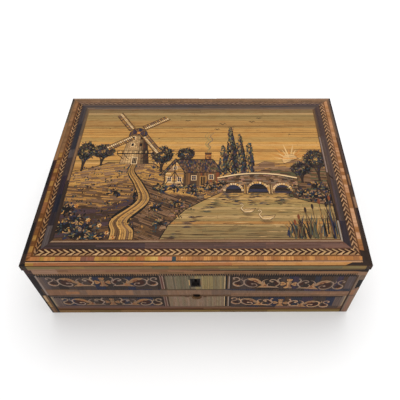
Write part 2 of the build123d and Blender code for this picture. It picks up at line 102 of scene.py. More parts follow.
def pick(tints, amount=0.1):
    return varied(rng.choice(tints), amount)


# Flat outlines, as lists of (u, v) in millimetres, anticlockwise


def sides(outline):
    """The sides of a closed outline, each as its two ends."""
    return zip(outline, outline[1:] + outline[:1])


def side_of(a, b, p):
    """Over 0 where p is on the left of the line from a to b."""
    return (b[0] - a[0]) * (p[1] - a[1]) - (b[1] - a[1]) * (p[0] - a[0])


def clip(outline, a, b):
    """The part of an outline on the left of the line from a to b."""
    kept = []
    for p, q in sides(outline):
        at_p, at_q = side_of(a, b, p), side_of(a, b, q)
        if at_p >= 0:
            kept.append(p)
        if at_p * at_q < 0:
            share = at_p / (at_p - at_q)
            kept.append((p[0] + (q[0] - p[0]) * share, p[1] + (q[1] - p[1]) * share))
    return kept


def within(outline, limits):
    """The part of an outline inside a convex one."""
    for a, b in sides(limits):
        outline = clip(outline, a, b)
    return outline


def without(outline, hole):
    """The parts of an outline outside a convex hole."""
    parts = []
    for a, b in sides(hole):
        parts.append(clip(outline, b, a))
        outline = clip(outline, a, b)
    return parts


def area_of(outline):
    return sum(p[0] * q[1] - q[0] * p[1] for p, q in sides(outline)) / 2


def cleaned(outline):
    """An outline without points that lie on their neighbours."""
    kept = [p for p, q in sides(outline) if math.dist(p, q) > 0.004]
    return kept if len(kept) > 2 else []


def grown(outline, distance):
    """An outline with its sides moved out by a distance, or in by a negative one."""
    count = len(outline)
    moved = []
    for i, p in enumerate(outline):
        before, after = outline[i - 1], outline[(i + 1) % count]
        back = Vector((p[0] - before[0], p[1] - before[1])).normalized()
        ahead = Vector((after[0] - p[0], after[1] - p[1])).normalized()
        normal = Vector((back.y + ahead.y, -back.x - ahead.x))
        normal /= max(1 + back.dot(ahead), 0.35)
        moved.append((p[0] + normal.x * distance, p[1] + normal.y * distance))
    return moved


def rect(u, v):
    return [(u[0], v[0]), (u[1], v[0]), (u[1], v[1]), (u[0], v[1])]


def ellipse(middle, half_u, half_v, count=20):
    turns = [2 * math.pi * i / count for i in range(count)]
    return [(middle[0] + half_u * math.cos(t), middle[1] + half_v * math.sin(t)) for t in turns]


def leaf(root, length, width, angle):
    """A pointed leaf from its root along an angle in degrees."""
    along = Vector((math.cos(math.radians(angle)), math.sin(math.radians(angle))))
    across = Vector((-along.y, along.x))
    places = ((0, 0), (0.3, -0.42), (0.65, -0.36), (1, 0), (0.65, 0.36), (0.3, 0.42))
    return [tuple(Vector(root) + along * (length * a) + across * (width * b)) for a, b in places]


def smooth(points, steps=6):
    """Points along a smooth line through the given ones."""
    ends = [2 * Vector(points[0]) - Vector(points[1]), 2 * Vector(points[-1]) - Vector(points[-2])]
    held = [ends[0]] + [Vector(p) for p in points] + [ends[1]]
    found = []
    for a, b, c, d in zip(held, held[1:], held[2:], held[3:]):
        for i in range(steps):
            t = i / steps
            bend = 2 * b + (c - a) * t + (2 * a - 5 * b + 4 * c - d) * t**2
            found.append((bend + (3 * b - a - 3 * c + d) * t**3) / 2)
    return found + [Vector(points[-1])]


def added(name, data):
    """A new object in the scene, from a mesh, a lamp's data or a camera's."""
    made = bpy.data.objects.new(name, data)
    bpy.context.scene.collection.objects.link(made)
    return made


# Where the underside of a tile lies over the sheet's plane: straws on the glue, or pieces let in over them
ON_GLUE, INLAID = 0.0, 0.1
# How high the tops of straws lie over that plane, from a sunk line up to what is laid on last
SUNK, LINE, FLUSH, PROUD, OVER, HIGHER, UPPER = 0.3, 0.32, 0.34, 0.35, 0.36, 0.37, 0.38


class Marquetry:
    """A skin of inlay on a plane: closed tiles gathered into one mesh.

    u and v run along the plane and h out of it, in millimetres. Every tile is cut to the limits, a convex
    outline, and round the convex holes. Round the losses only the straw is cut, and the dark glue shows."""

    # How far a tile's upper edge is eased, the area up to which its sides just lean in, and the area under
    # which a piece is a crumb that is left out
    edge, small, crumb = 0.05, 3.5, 0.03
    # The hair of height from one tile to the next, and after how many tiles it begins again
    hair, hairs = 0.0003, 40

    def __init__(self, name, origin, u_axis, v_axis, out_axis, limits, holes=(), losses=(), glue=GLUE):
        self.name = name
        self.origin, self.u_axis = Vector(origin), Vector(u_axis)
        self.v_axis, self.out_axis = Vector(v_axis), Vector(out_axis)
        self.limits, self.holes = limits, list(holes)
        self.u_range, self.v_range = ((min(axis), max(axis)) for axis in zip(*limits))
        self.points, self.faces, self.tints, self.fibres = [], [], [], []
        self.count = 0
        self.tile(limits, glue, 0.08, low=ON_GLUE)
        self.holes += losses

    def add_ring(self, outline, height, tint, angle, seed):
        """Adds a ring of points, with the straw's own coordinates: along, across and its number."""
        first = len(self.points)
        turn = math.radians(angle)
        along, across = (math.cos(turn), math.sin(turn)), (-math.sin(turn), math.cos(turn))
        for u, v in outline:
            self.points.append((u, v, height))
            self.tints.append((*tint, 1.0))
            self.fibres.append((u * along[0] + v * along[1], u * across[0] + v * across[1], seed))
        return list(range(first, first + len(outline)))

    def add_walls(self, lower, upper):
        for i in range(len(lower)):
            j = (i + 1) % len(lower)
            self.faces.append((lower[i], lower[j], upper[j], upper[i]))

    def step(self):
        """A hair of height that differs from tile to tile, so that no two tops lie in one plane."""
        self.count += 1
        return self.hair * (self.count % self.hairs)

    def tile(self, outline, tint, high, angle=0.0, low=INLAID):
        """A closed tile with eased edges, from a height to another, its straw lying along an angle."""
        parts = [within(outline, self.limits)]
        for hole in self.holes:
            parts = [kept for part in parts for kept in without(part, hole)]
        high += self.step()
        for part in parts:
            part = cleaned(part)
            size = area_of(part) if part else 0
            if size < self.crumb:
                continue
            seed = between(0, 200)
            around = sum(math.dist(p, q) for p, q in sides(part))
            ease = min(self.edge, 0.3 * size / around)
            bottom = self.add_ring(part, low, tint, angle, seed)
            rim = self.add_ring(part, high - ease * 0.8, tint, angle, seed) if size > self.small else bottom
            top = self.add_ring(grown(part, -ease), high, tint, angle, seed)
            self.faces.append(tuple(reversed(bottom)))
            if rim != bottom:
                self.add_walls(bottom, rim)
            self.add_walls(rim, top)
            self.faces.append(tuple(top))

    def strips(self, outline, pitch, angle, tints, high, gap=(0.05, 0.3), lengths=None, low=INLAID):
        """Fills an outline with straws side by side along an angle, or with shorter lengths of them."""
        turn = math.radians(angle)
        along, across = Vector((math.cos(turn), math.sin(turn))), Vector((-math.sin(turn), math.cos(turn)))
        places = [across.dot(p) for p in outline]
        start = min(places) - between(0, 0.4) * pitch
        while start < max(places):
            width = pitch * between(0.88, 1.1)
            end = start + width - between(*gap)
            a, b = across * start, across * end
            strip = clip(clip(outline, a, a + along), b, b - along)
            start += width
            if len(strip) > 2:
                for part in self.lengths_of(strip, along, lengths):
                    self.tile(part, pick(tints), high, angle, low)

    def lengths_of(self, strip, along, lengths):
        """Cuts a straw across into random lengths between the two given, or leaves it whole."""
        if lengths is None:
            return [strip]
        across = Vector((-along.y, along.x))
        places = [along.dot(p) for p in strip]
        start, parts = min(places) - between(0, lengths[0]), []
        while start < max(places):
            length = between(*lengths)
            a, b = along * start, along * (start + length - 0.08)
            part = clip(clip(strip, a + across, a), b, b + across)
            if len(part) > 2:
                parts.append(part)
            start += length
        return parts

    def ribbon(self, points, widths, tint, high, steps=6):
        """A closed curved stroke along a smooth line, kept inside the sheet's extent.

        Its width runs evenly through the given widths."""
        line = smooth(points, steps)
        (u_low, u_high), (v_low, v_high) = self.u_range, self.v_range
        high += self.step()
        seed, travelled, rings = between(0, 200), 0.0, []
        for i, p in enumerate(line):
            before, after = line[max(i - 1, 0)], line[min(i + 1, len(line) - 1)]
            ahead = (after - before).normalized()
            left = Vector((-ahead.y, ahead.x))
            place = i / (len(line) - 1) * (len(widths) - 1)
            part = min(int(place), len(widths) - 2)
            half = (widths[part] + (widths[part + 1] - widths[part]) * (place - part)) / 2
            travelled += (p - before).length
            inner = max(half - self.edge, 0.6 * half)
            section = ((half, INLAID), (half, high - self.edge), (inner, high))
            section += ((-inner, high), (-half, high - self.edge), (-half, INLAID))
            ring = []
            for offset, height in section:
                at = p + left * offset
                ring.append(len(self.points))
                self.points.append((min(max(at.x, u_low), u_high), min(max(at.y, v_low), v_high), height))
                self.tints.append((*tint, 1.0))
                self.fibres.append((travelled, offset, seed))
            rings.append(ring)
        for lower, upper in zip(rings, rings[1:]):
            self.add_walls(lower, upper)
        self.faces.append(tuple(reversed(rings[0])))
        self.faces.append(tuple(rings[-1]))

    def run(self, u, v, tints, lengths=(30, 90), high=FLUSH):
        """One straw wide along a band, in random lengths end to end."""
        place = u[0] - between(0, lengths[0])
        while place < u[1]:
            end = place + between(*lengths)
            outline = rect((max(place, u[0]) + 0.04, min(end, u[1])), v)
            self.tile(outline, pick(tints, 0.07), high, low=ON_GLUE)
            place = end

    def ladder(self, u, v, tints, widths=(1.2, 2.6), groups=(4, 15), high=FLUSH, inside=None):
        """Short straws laid across a band, in groups of one colour, cut to an outline if one is given."""
        place = u[0]
        while place < u[1]:
            end, tint = place + between(*groups), rng.choice(tints)
            while place < min(end, u[1]):
                width = between(*widths)
                outline = rect((place + 0.05, min(place + width, u[1])), v)
                outline = within(outline, inside) if inside else outline
                self.tile(outline, varied(tint), high, 90, low=ON_GLUE)
                place += width

    def dots(self, u, v, pitch=2.1):
        """A line of small dark and light tiles by turns."""
        place, lights, darks = u[0], (rgb(126, 96, 68), BROWN, FAWN), (BLACK, rgb(30, 20, 16))
        while place < u[1]:
            dark, whole = (rect((place, place + pitch * part), v) for part in (between(0.52, 0.64), 1))
            self.tile(whole, pick(lights, 0.15), LINE, 90, low=ON_GLUE)
            self.tile(dark, pick(darks), PROUD, 90, low=ON_GLUE)
            place += pitch

    def comb(self, u, top, drops, pitch=2.1):
        """Dark straw ends of uneven length that hang down from a line."""
        place = u[0]
        while place < u[1]:
            self.tile(rect((place, place + 1.1), (top - between(*drops), top)), BLACK, OVER, 90)
            place += pitch

    def leaves(self, middle, half_u, half_v, count, size, tints, high, up=None):
        """Small pointed leaves scattered over an ellipse, outwards, or about an angle if one is given."""
        for _ in range(count):
            turn, reach = between(0, 2 * math.pi), math.sqrt(rng.random())
            away = (half_u * reach * math.cos(turn), half_v * reach * math.sin(turn))
            root = (middle[0] + away[0], middle[1] + away[1])
            angle = math.degrees(turn) + between(-50, 50) if up is None else up + between(-28, 28)
            length = size * between(0.7, 1.3)
            self.tile(leaf(root, length, length * between(0.4, 0.6), angle), pick(tints, 0.2), high, angle)

    def build(self, material, body, slot, *nodes):
        """Makes the mesh object, which rides on a body and stands for the CAD skins."""
        mesh = bpy.data.meshes.new(self.name)
        u_axis, v_axis, out_axis = self.u_axis, self.v_axis, self.out_axis
        places = [self.origin + u_axis * u + v_axis * v + out_axis * h for u, v, h in self.points]
        mesh.from_pydata([p * MM for p in places], [], self.faces)
        tint = mesh.attributes.new("tint", "FLOAT_COLOR", "POINT")
        tint.data.foreach_set("color", [c for row in self.tints for c in row])
        fibre = mesh.attributes.new("fibre", "FLOAT_VECTOR", "POINT")
        fibre.data.foreach_set("vector", [c for row in self.fibres for c in row])
        (u_low, u_high), (v_low, v_high) = self.u_range, self.v_range
        atlas = mesh.uv_layers.new(name="OFBake")
        for loop in mesh.loops:
            u, v, _ = self.points[loop.vertex_index]
            atlas.data[loop.index].uv = ((u - u_low) / (u_high - u_low), (v - v_low) / (v_high - v_low))
        mesh.materials.append(material)
        piece = added(self.name, mesh)
        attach(piece, body)
        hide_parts(*nodes)


class Painter:
    """Writes the nodes of a material or a world. A value is a number, a colour or another node's socket."""

    def __init__(self, name, store=bpy.data.materials):
        self.block = store.new(name)
        self.block.use_nodes = True
        self.tree = self.block.node_tree
        self.tree.nodes.clear()

    def node(self, kind, inputs=(), out=0, **settings):
        made = self.tree.nodes.new(kind)
        for name, value in settings.items():
            setattr(made, name, value)
        for key, value in dict(inputs).items():
            socket = made.inputs[key]
            if isinstance(value, bpy.types.NodeSocket):
                self.tree.links.new(value, socket)
            else:
                socket.default_value = (*value, 1.0) if socket.type == "RGBA" else value
        return made.outputs[out] if made.outputs else None

    def math(self, operation, a, b=0.5):
        return self.node("ShaderNodeMath", {0: a, 1: b}, operation=operation)

    def scaled(self, vector, scale):
        return self.node("ShaderNodeVectorMath", {0: vector, 1: scale}, operation="MULTIPLY")

    def place(self):
        """Where a point lies on its object, in metres."""
        return self.node("ShaderNodeTexCoord", out=3)

    def noise(self, vector, scale=1.0, detail=3.0):
        values = {"Vector": vector, "Scale": scale, "Detail": detail, "Roughness": 0.55}
        return self.node("ShaderNodeTexNoise", values)

    def ranged(self, value, low, high, to_low=0.0, to_high=1.0):
        values = {"Value": value, "From Min": low, "From Max": high, "To Min": to_low, "To Max": to_high}
        return self.node("ShaderNodeMapRange", values, clamp=True)

    def blend(self, share, a, b, mode="MIX"):
        return self.node("ShaderNodeMix", {0: share, 6: a, 7: b}, 2, data_type="RGBA", blend_type=mode)

    def stain(self, base, mask, low, high, share, tint):
        """The base with a share of a tint over it where the mask rises from low to high."""
        return self.blend(self.ranged(mask, low, high, 0.0, share), base, tint)

    def bump(self, height, distance, strength=1.0):
        return self.node("ShaderNodeBump", {"Height": height, "Distance": distance, "Strength": strength})

    def seen(self):
        """1 for what the camera or a reflection sees, and 0 for the light that falls on things."""
        rays = self.tree.nodes.new("ShaderNodeLightPath").outputs
        seen = self.math("MAXIMUM", rays["Is Camera Ray"], rays["Is Glossy Ray"])
        return self.math("MAXIMUM", seen, rays["Is Transmission Ray"])

    def finish(self, **values):
        inputs = {key.replace("_", " "): value for key, value in values.items()}
        shader = self.node("ShaderNodeBsdfPrincipled", inputs)
        self.node("ShaderNodeOutputMaterial", {"Surface": shader})
        return self.block


def straw_material(name, streaks, blotches, specks, roughness):
    """Split straw: long silky fibres, darker runs, old blotches and specks over each tile's own tint."""
    paint = Painter(name)
    tint = paint.node("ShaderNodeAttribute", out=0, attribute_name="tint")
    fibre = paint.node("ShaderNodeAttribute", out=1, attribute_name="fibre")
    runs = paint.noise(paint.scaled(fibre, (0.035, 1.1, 1.7)))
    hairs = paint.noise(paint.scaled(fibre, (0.2, 7.0, 1.7)), detail=2)
    patch = paint.noise(paint.scaled(fibre, (0.09, 0.35, 1.7)), detail=2)
    spots = paint.noise(paint.scaled(fibre, (0.45, 1.8, 1.7)), detail=1)
    run_light = paint.ranged(runs, 0.32, 0.68, 1 - streaks, 1 + streaks)
    hair_light = paint.ranged(hairs, 0.3, 0.7, 1 - streaks, 1 + streaks * 0.7)
    light = paint.math("MULTIPLY", run_light, hair_light)
    coloured = paint.node("ShaderNodeVectorMath", {0: tint, "Scale": light}, operation="SCALE")
    warm = paint.blend(1.0, coloured, (0.8, 0.58, 0.38), "MULTIPLY")
    aged = paint.stain(coloured, patch, 0.5, 0.75, blotches, warm)
    stained = paint.stain(aged, spots, 0.68, 0.76, specks, rgb(56, 38, 24))
    relief = paint.math("ADD", paint.math("MULTIPLY", hairs, 0.4), paint.math("MULTIPLY", runs, 0.6))
    return paint.finish(
        Base_Color=stained,
        Roughness=paint.ranged(runs, 0.3, 0.7, roughness - 0.06, roughness + 0.08),
        Normal=paint.bump(relief, 0.0001, 0.6),
        Specular_IOR_Level=0.08,
    )


straw = straw_material("natural_straw", 0.13, 0.55, 0.6, 0.46)
dyed_straw = straw_material("dyed_straw", 0.26, 0.4, 0.3, 0.5)

# Where the skins lie, from the frame
skin_x, skin_y, skin_z = span("front_band_straw")
rim = skin_z[1]
panel_z = span("keyhole_tablet_straw")[2]
picture_x, picture_y, picture_z = span("picture_straw")
border_x, border_y, border_z = span("lid_border_straw_front")
edge_z = span("lid_edge_straw")[2]
rail_x, _, rail_z = span("front_rail_straw")
foot_x, _, foot_z = span("bottom_edge_straw")
stile_x, _, stile_z = span("stile_straw")
drawer_x, _, drawer_z = span("drawer_border_straw")
drawer_panel_z = span("drawer_tablet_straw")[2]
skin = skin_y[1] - skin_y[0]
lid_x, lid_y = border_x[1], -border_y[0]
border_width = border_y[1] - border_y[0]
slope = (border_z[1] - border_z[0] - skin) / border_width


def front_sheet(name, node, **cuts):
    """A sheet on the front of the case or drawer, in the box's own x and z."""
    x, y, z = span(node)
    return Marquetry(name, (0, y[1], 0), (1, 0, 0), (0, 0, 1), (0, -1, 0), rect(x, z), **cuts)


# The lid's sloping border: its bands from the lid's edge in, and how far in each ends on each side
border_names = (
    "edge", "stripe", "light", "black", "blocks", "red", "herringbone", "fringe", "plain", "dark_fillet",
    "fillet", "inner",
)
border_ends = {
    "front": (0.4, 3.0, 3.8, 4.9, 8.5, 9.9, 15.4, 16.2, 21.3, 22.1, 23.5, 24.5),
    "right": (0.4, 2.9, 3.8, 4.8, 8.6, 9.9, 15.3, 16.1, 21.4, 22.2, 23.7, 24.5),
    "back": (0.4, 2.8, 3.7, 4.6, 7.6, 9.0, 12.8, 13.8, 19.4, 20.4, 23.2, 24.5),
    "left": (0.4, 2.9, 3.8, 4.6, 8.1, 9.7, 14.5, 15.2, 20.5, 21.3, 23.5, 24.5),
}
# The tints of the bands on each side, as age and wear have left them, except the dark tints of the inner
# band, which are painted shade of the gap between the light fillet and the picture: darkest at the front,
# none at the back. Each stretch of tints is kept by the share of the side's length where it begins.
border_tints = {
    "front": {
        "edge": {0: (rgb(92, 56, 18), rgb(76, 46, 16))},
        "stripe": {
            0: (rgb(150, 112, 56),), 0.04: (rgb(154, 96, 54), rgb(146, 92, 58)),
            0.35: (rgb(166, 108, 56), rgb(156, 102, 60)), 0.6: (rgb(174, 124, 70), rgb(166, 116, 66)),
        },
        "light": {0: (rgb(180, 136, 100), rgb(176, 140, 92))},
        "black": {0: (BLACK, rgb(44, 24, 8)), 0.55: (DARK, UMBER), 0.8: (BROWN, FAWN)},
        "blocks": {
            0: (
                rgb(166, 124, 62), rgb(158, 106, 56), rgb(176, 122, 66), rgb(150, 114, 54),
                rgb(160, 104, 60),
            ),
            0.17: (rgb(132, 84, 62), rgb(124, 82, 64)),
            0.21: (
                rgb(190, 150, 82), rgb(158, 112, 58), rgb(170, 126, 60), rgb(176, 112, 66),
                rgb(164, 104, 56),
            ),
            0.4: (rgb(182, 122, 84), rgb(176, 120, 66)),
            0.44: (
                rgb(170, 114, 62), rgb(182, 124, 70), rgb(160, 106, 58), rgb(188, 132, 74),
                rgb(150, 100, 60),
            ),
        },
        "red": {0: (rgb(94, 58, 34), rgb(104, 66, 38)), 0.33: (rgb(108, 72, 38), rgb(116, 76, 48))},
        "fringe": {0: (DARK, rgb(70, 42, 30)), 0.5: (rgb(90, 58, 42), UMBER)},
        "plain": {
            0: (rgb(60, 46, 44), rgb(66, 50, 50), rgb(54, 42, 38)),
            0.35: (rgb(84, 62, 54), rgb(76, 58, 54), rgb(88, 64, 56)),
            0.7: (rgb(102, 72, 64), rgb(96, 70, 60), rgb(108, 78, 66)),
        },
        "dark_fillet": {0: (rgb(66, 40, 30), UMBER), 0.6: (rgb(92, 60, 46),)},
        "fillet": {0: (rgb(140, 112, 88), rgb(134, 104, 78))},
        # The inner band's dark tints: painted shade of the gap by the picture
        "inner": {0: (rgb(78, 48, 22), DARK), 0.33: (rgb(92, 58, 34), rgb(102, 70, 48))},
    },
    "right": {
        "edge": {0: (BLACK, DARK)},
        "stripe": {
            0: (DARK, rgb(40, 30, 36)), 0.276: (rgb(132, 102, 80), FAWN), 0.335: (rgb(66, 56, 54), UMBER),
            0.4: (rgb(122, 90, 64), BROWN), 0.464: (rgb(56, 50, 48), rgb(72, 58, 52), UMBER),
            0.69: (rgb(80, 64, 54), rgb(96, 76, 60)),
        },
        "light": {0: (rgb(64, 40, 28), UMBER), 0.7: (rgb(112, 84, 62), BROWN)},
        "black": {0: (rgb(70, 42, 26), UMBER), 0.7: (rgb(112, 80, 56), BROWN)},
        "blocks": {
            0: (rgb(140, 92, 54), rgb(186, 140, 104), rgb(150, 102, 60), rgb(178, 130, 92)),
            0.6: (rgb(150, 102, 62), rgb(164, 116, 74), rgb(176, 128, 90)),
        },
        "red": {0: (rgb(88, 54, 32), rgb(98, 60, 34)), 0.33: (rgb(110, 70, 40), rgb(116, 78, 52))},
        "fringe": {0: (rgb(66, 50, 44), DARK), 0.35: (rgb(88, 68, 58), UMBER)},
        "plain": {
            0: (rgb(44, 38, 48), rgb(48, 40, 44)), 0.2: (rgb(72, 58, 60), rgb(60, 52, 54), rgb(66, 54, 50)),
            0.42: (rgb(82, 66, 58), rgb(76, 60, 58)), 0.7: (rgb(74, 56, 50), rgb(68, 52, 50)),
        },
        "dark_fillet": {0: (UMBER, DARK), 0.7: (rgb(76, 56, 44),)},
        "fillet": {
            0: (PLUM,), 0.1: (rgb(148, 134, 120),), 0.2: (UMBER, DARK), 0.464: (rgb(132, 112, 102),),
            0.69: (rgb(96, 72, 50), BROWN),
        },
        # The inner band's dark tints: painted shade of the gap by the picture, darkest at the front
        "inner": {0: (DARK, BLACK), 0.4: (rgb(62, 46, 36), UMBER), 0.7: (rgb(98, 68, 42), BROWN)},
    },
    "back": {
        "edge": {0: (BROWN, FAWN)},
        "stripe": {0: (rgb(130, 102, 78), FAWN, rgb(138, 106, 84))},
        "light": {0: (rgb(134, 104, 80), FAWN)},
        "black": {0: (BROWN, FAWN)},
        "blocks": {0: (rgb(118, 88, 62), rgb(106, 80, 56), rgb(128, 96, 68))},
        "red": {0: (rgb(104, 74, 52), rgb(96, 68, 48))},
        "fringe": {0: (UMBER, PLUM)},
        "plain": {0: (rgb(74, 60, 54), rgb(68, 56, 52), rgb(80, 64, 56), rgb(58, 52, 54))},
        "dark_fillet": {0: (rgb(84, 66, 54), rgb(76, 64, 58))},
        "fillet": {0: (rgb(98, 80, 66), rgb(104, 82, 62), rgb(92, 78, 68))},
        "inner": {0: (rgb(112, 84, 60), FAWN)},
    },
    "left": {
        "edge": {0: (rgb(70, 56, 44),), 0.446: (BLACK,)},
        "stripe": {
            0: (rgb(98, 84, 64), rgb(90, 74, 56)),
            0.19: (rgb(122, 84, 50), rgb(112, 78, 50), rgb(128, 92, 58)),
            0.446: (rgb(40, 24, 26), rgb(28, 18, 24), rgb(50, 28, 24)),
        },
        "light": {0: (rgb(116, 80, 50), FAWN), 0.446: (rgb(56, 32, 24), DARK)},
        "black": {0: (rgb(108, 74, 44), BROWN), 0.446: (rgb(74, 44, 26), UMBER)},
        "blocks": {
            0: (rgb(124, 88, 56), rgb(112, 78, 48), rgb(136, 96, 62)),
            0.4: (
                rgb(134, 94, 48), rgb(116, 72, 34), rgb(150, 108, 52), rgb(104, 64, 30), rgb(128, 82, 48),
            ),
        },
        "red": {0: (rgb(92, 58, 32), rgb(84, 52, 28)), 0.5: (rgb(92, 54, 22), rgb(80, 48, 18))},
        "fringe": {0: (DARK, rgb(56, 38, 28))},
        "plain": {
            0: (rgb(64, 56, 56), rgb(56, 48, 50)), 0.21: (rgb(38, 36, 42), rgb(48, 40, 44)),
            0.388: (rgb(74, 64, 62),), 0.44: (rgb(54, 42, 40), rgb(46, 38, 38)),
            0.55: (rgb(48, 34, 46), rgb(40, 30, 36)), 0.657: (rgb(24, 24, 34), rgb(30, 28, 36)),
            0.753: (rgb(48, 40, 40), rgb(42, 34, 38)), 0.82: (rgb(78, 68, 66),),
        },
        "dark_fillet": {0: (rgb(76, 58, 46), UMBER), 0.6: (rgb(44, 36, 34), DARK)},
        "fillet": {
            0: (rgb(94, 76, 58),), 0.3: (rgb(114, 86, 60), rgb(120, 90, 64)), 0.58: (rgb(54, 44, 38), DARK),
        },
        # The inner band's dark tints: painted shade of the gap by the picture, darkest at the front
        "inner": {0: (rgb(104, 76, 46),), 0.44: (rgb(96, 64, 34), UMBER), 0.6: (rgb(50, 34, 22), DARK)},
    },
}
herringbone_tints = {
    "front": (
        (rgb(172, 136, 92), rgb(158, 120, 82), rgb(186, 148, 104)), (rgb(48, 24, 12), rgb(60, 36, 20)),
    ),
    "right": (
        (rgb(156, 116, 82), rgb(172, 132, 98), rgb(146, 108, 74)), (rgb(58, 36, 22), rgb(70, 46, 32)),
    ),
    "back": ((rgb(122, 94, 74), rgb(132, 102, 84), FAWN), (rgb(72, 50, 38), rgb(80, 58, 46))),
    "left": ((rgb(134, 94, 58), rgb(158, 118, 80), rgb(116, 78, 44)), (rgb(44, 24, 14), rgb(54, 32, 20))),
}
# Each side's inward and lengthwise directions, how far out it lies and half its length
border_sides = {
    "front": ((0, 1), (1, 0), lid_y, lid_x),
    "right": ((-1, 0), (0, 1), lid_x, lid_y),
    "back": ((0, -1), (-1, 0), lid_y, lid_x),
    "left": ((1, 0), (0, -1), lid_x, lid_y),
}
# Where straw is missing, and where it has gone dark, in each side's own lengthwise and inward distances
border_losses = {
    "front": [
        [(126, 0.2), (150, 0), (150, 3), (133, 3)],
        [(141.8, 3), (150, 3), (150, 9), (142.6, 9), (141.8, 7)],
    ],
    "right": [
        [(-112, 0), (-97.5, 0), (-97, 9), (-103, 9)],
        [(-16.5, 18.8), (-14.6, 18.4), (-11, 21.2), (-11.4, 22.6), (-13.4, 21.8)],
    ],
    "back": [[(-18, 0), (3.5, 0), (1, 1.3), (-15, 1.3)]],
    "left": [],
}
border_stains = {
    "front": [[(-150, 0), (-144.6, 0), (-145.6, 4.4), (-150, 4.4)]],
    "right": [
        [(-112, 0), (-48, 0), (-60, 2.6), (-96, 4.4)],
        [(-34, 0), (112, 0), (112, 1.5), (60, 1.2), (-34, 1.2)],
    ],
    "back": [],
    "left": [
        [(-10, 0), (112, 0), (112, 3.9), (60, 3.2), (-6, 2.6)],
        [(-112, 0), (-92, 0), (-104, 1.8), (-112, 1.8)],
    ],
}


def herringbone(sheet, half, v, lights, darks):
    """Slanted light slips on dark straw, in two rows that meet as arrowheads along the band."""
    middle, pitch = (v[0] + v[1]) / 2, 5.4
    # Each row: the edge it starts from, its foot, its lean, its width, its tip and how pale it is
    rows = ((v[0], 4.4, 3.4, 2.5, 1.7, 0.0), (v[1], 1.5, 3.5, 2.2, 2.4, 0.16))
    sheet.ladder((-half, half), v, darks, (1.5, 3.5), (2, 6), SUNK)
    u = -half - 8
    while u < half:
        for outer, foot, lean, width, tip, paler in rows:
            rise, knee = middle - outer, lean * 0.5
            width += between(-0.4, 0.3)
            arm = [(-foot / 2, 0), (foot / 2, 0), (knee + width * 0.6, 0.5), (lean + tip, 1), (lean, 1)]
            arm = [(u + a, outer + rise * b) for a, b in arm + [(knee - width * 0.4, 0.5)]]
            tint = mixed(pick(lights, 0.14), CREAM, paler)
            sheet.tile(arm if rise > 0 else arm[::-1], tint, PROUD, math.degrees(math.atan2(rise, lean)))
        u += pitch


def border_side(side):
    """One mitred side of the border, from the lid's edge in to the picture."""
    inward, along, distance, half = border_sides[side]
    origin = Vector((-inward[0] * distance, -inward[1] * distance, border_z[0]))
    mitre = half - border_width
    limits = [(-half, 0), (half, 0), (mitre, border_width), (-mitre, border_width)]
    axes = ((*along, 0), (*inward, slope), (0, 0, 1))
    sheet = Marquetry(f"lid_border_{side}", origin, *axes, limits, losses=border_losses[side])
    starts = (0.0,) + border_ends[side][:-1]
    bands = dict(zip(border_names, zip(starts, border_ends[side])))
    for band, v in bands.items():
        if band == "herringbone":
            herringbone(sheet, half, v, *herringbone_tints[side])
            continue
        stretches = border_tints[side][band]
        ends = list(stretches)[1:] + [1]
        for (start, tints), end in zip(stretches.items(), ends):
            u = (half * (2 * start - 1), half * (2 * end - 1))
            if band == "blocks":
                sheet.ladder(u, v, tints, (1.3, 1.9), (1.6, 6.5))
            elif band == "plain":
                sheet.strips(rect(u, v), 1.75, 0, tints, FLUSH, (0.03, 0.12), (20, 80), low=ON_GLUE)
            else:
                sheet.run(u, v, tints, high=SUNK if band in ("black", "fringe", "inner") else FLUSH)
    if side == "front":
        # One blue-green block among the golden ones, and a pale splinter
        sheet.tile(rect((-21, -17.4), (3.9, 8.5)), TEAL, OVER, 90)
        sheet.tile(leaf((-12.6, 6.6), 2.6, 1.0, 85), CREAM, HIGHER)
    for stain in border_stains[side]:
        sheet.strips(stain, 60, 0, (DARK, BLACK, rgb(38, 28, 34)), HIGHER, lengths=(12, 40))
    sheet.build(dyed_straw if side == "left" else straw, "lid", "straw_border", f"lid_border_straw_{side}")


for border_name in border_sides:
    border_side(border_name)

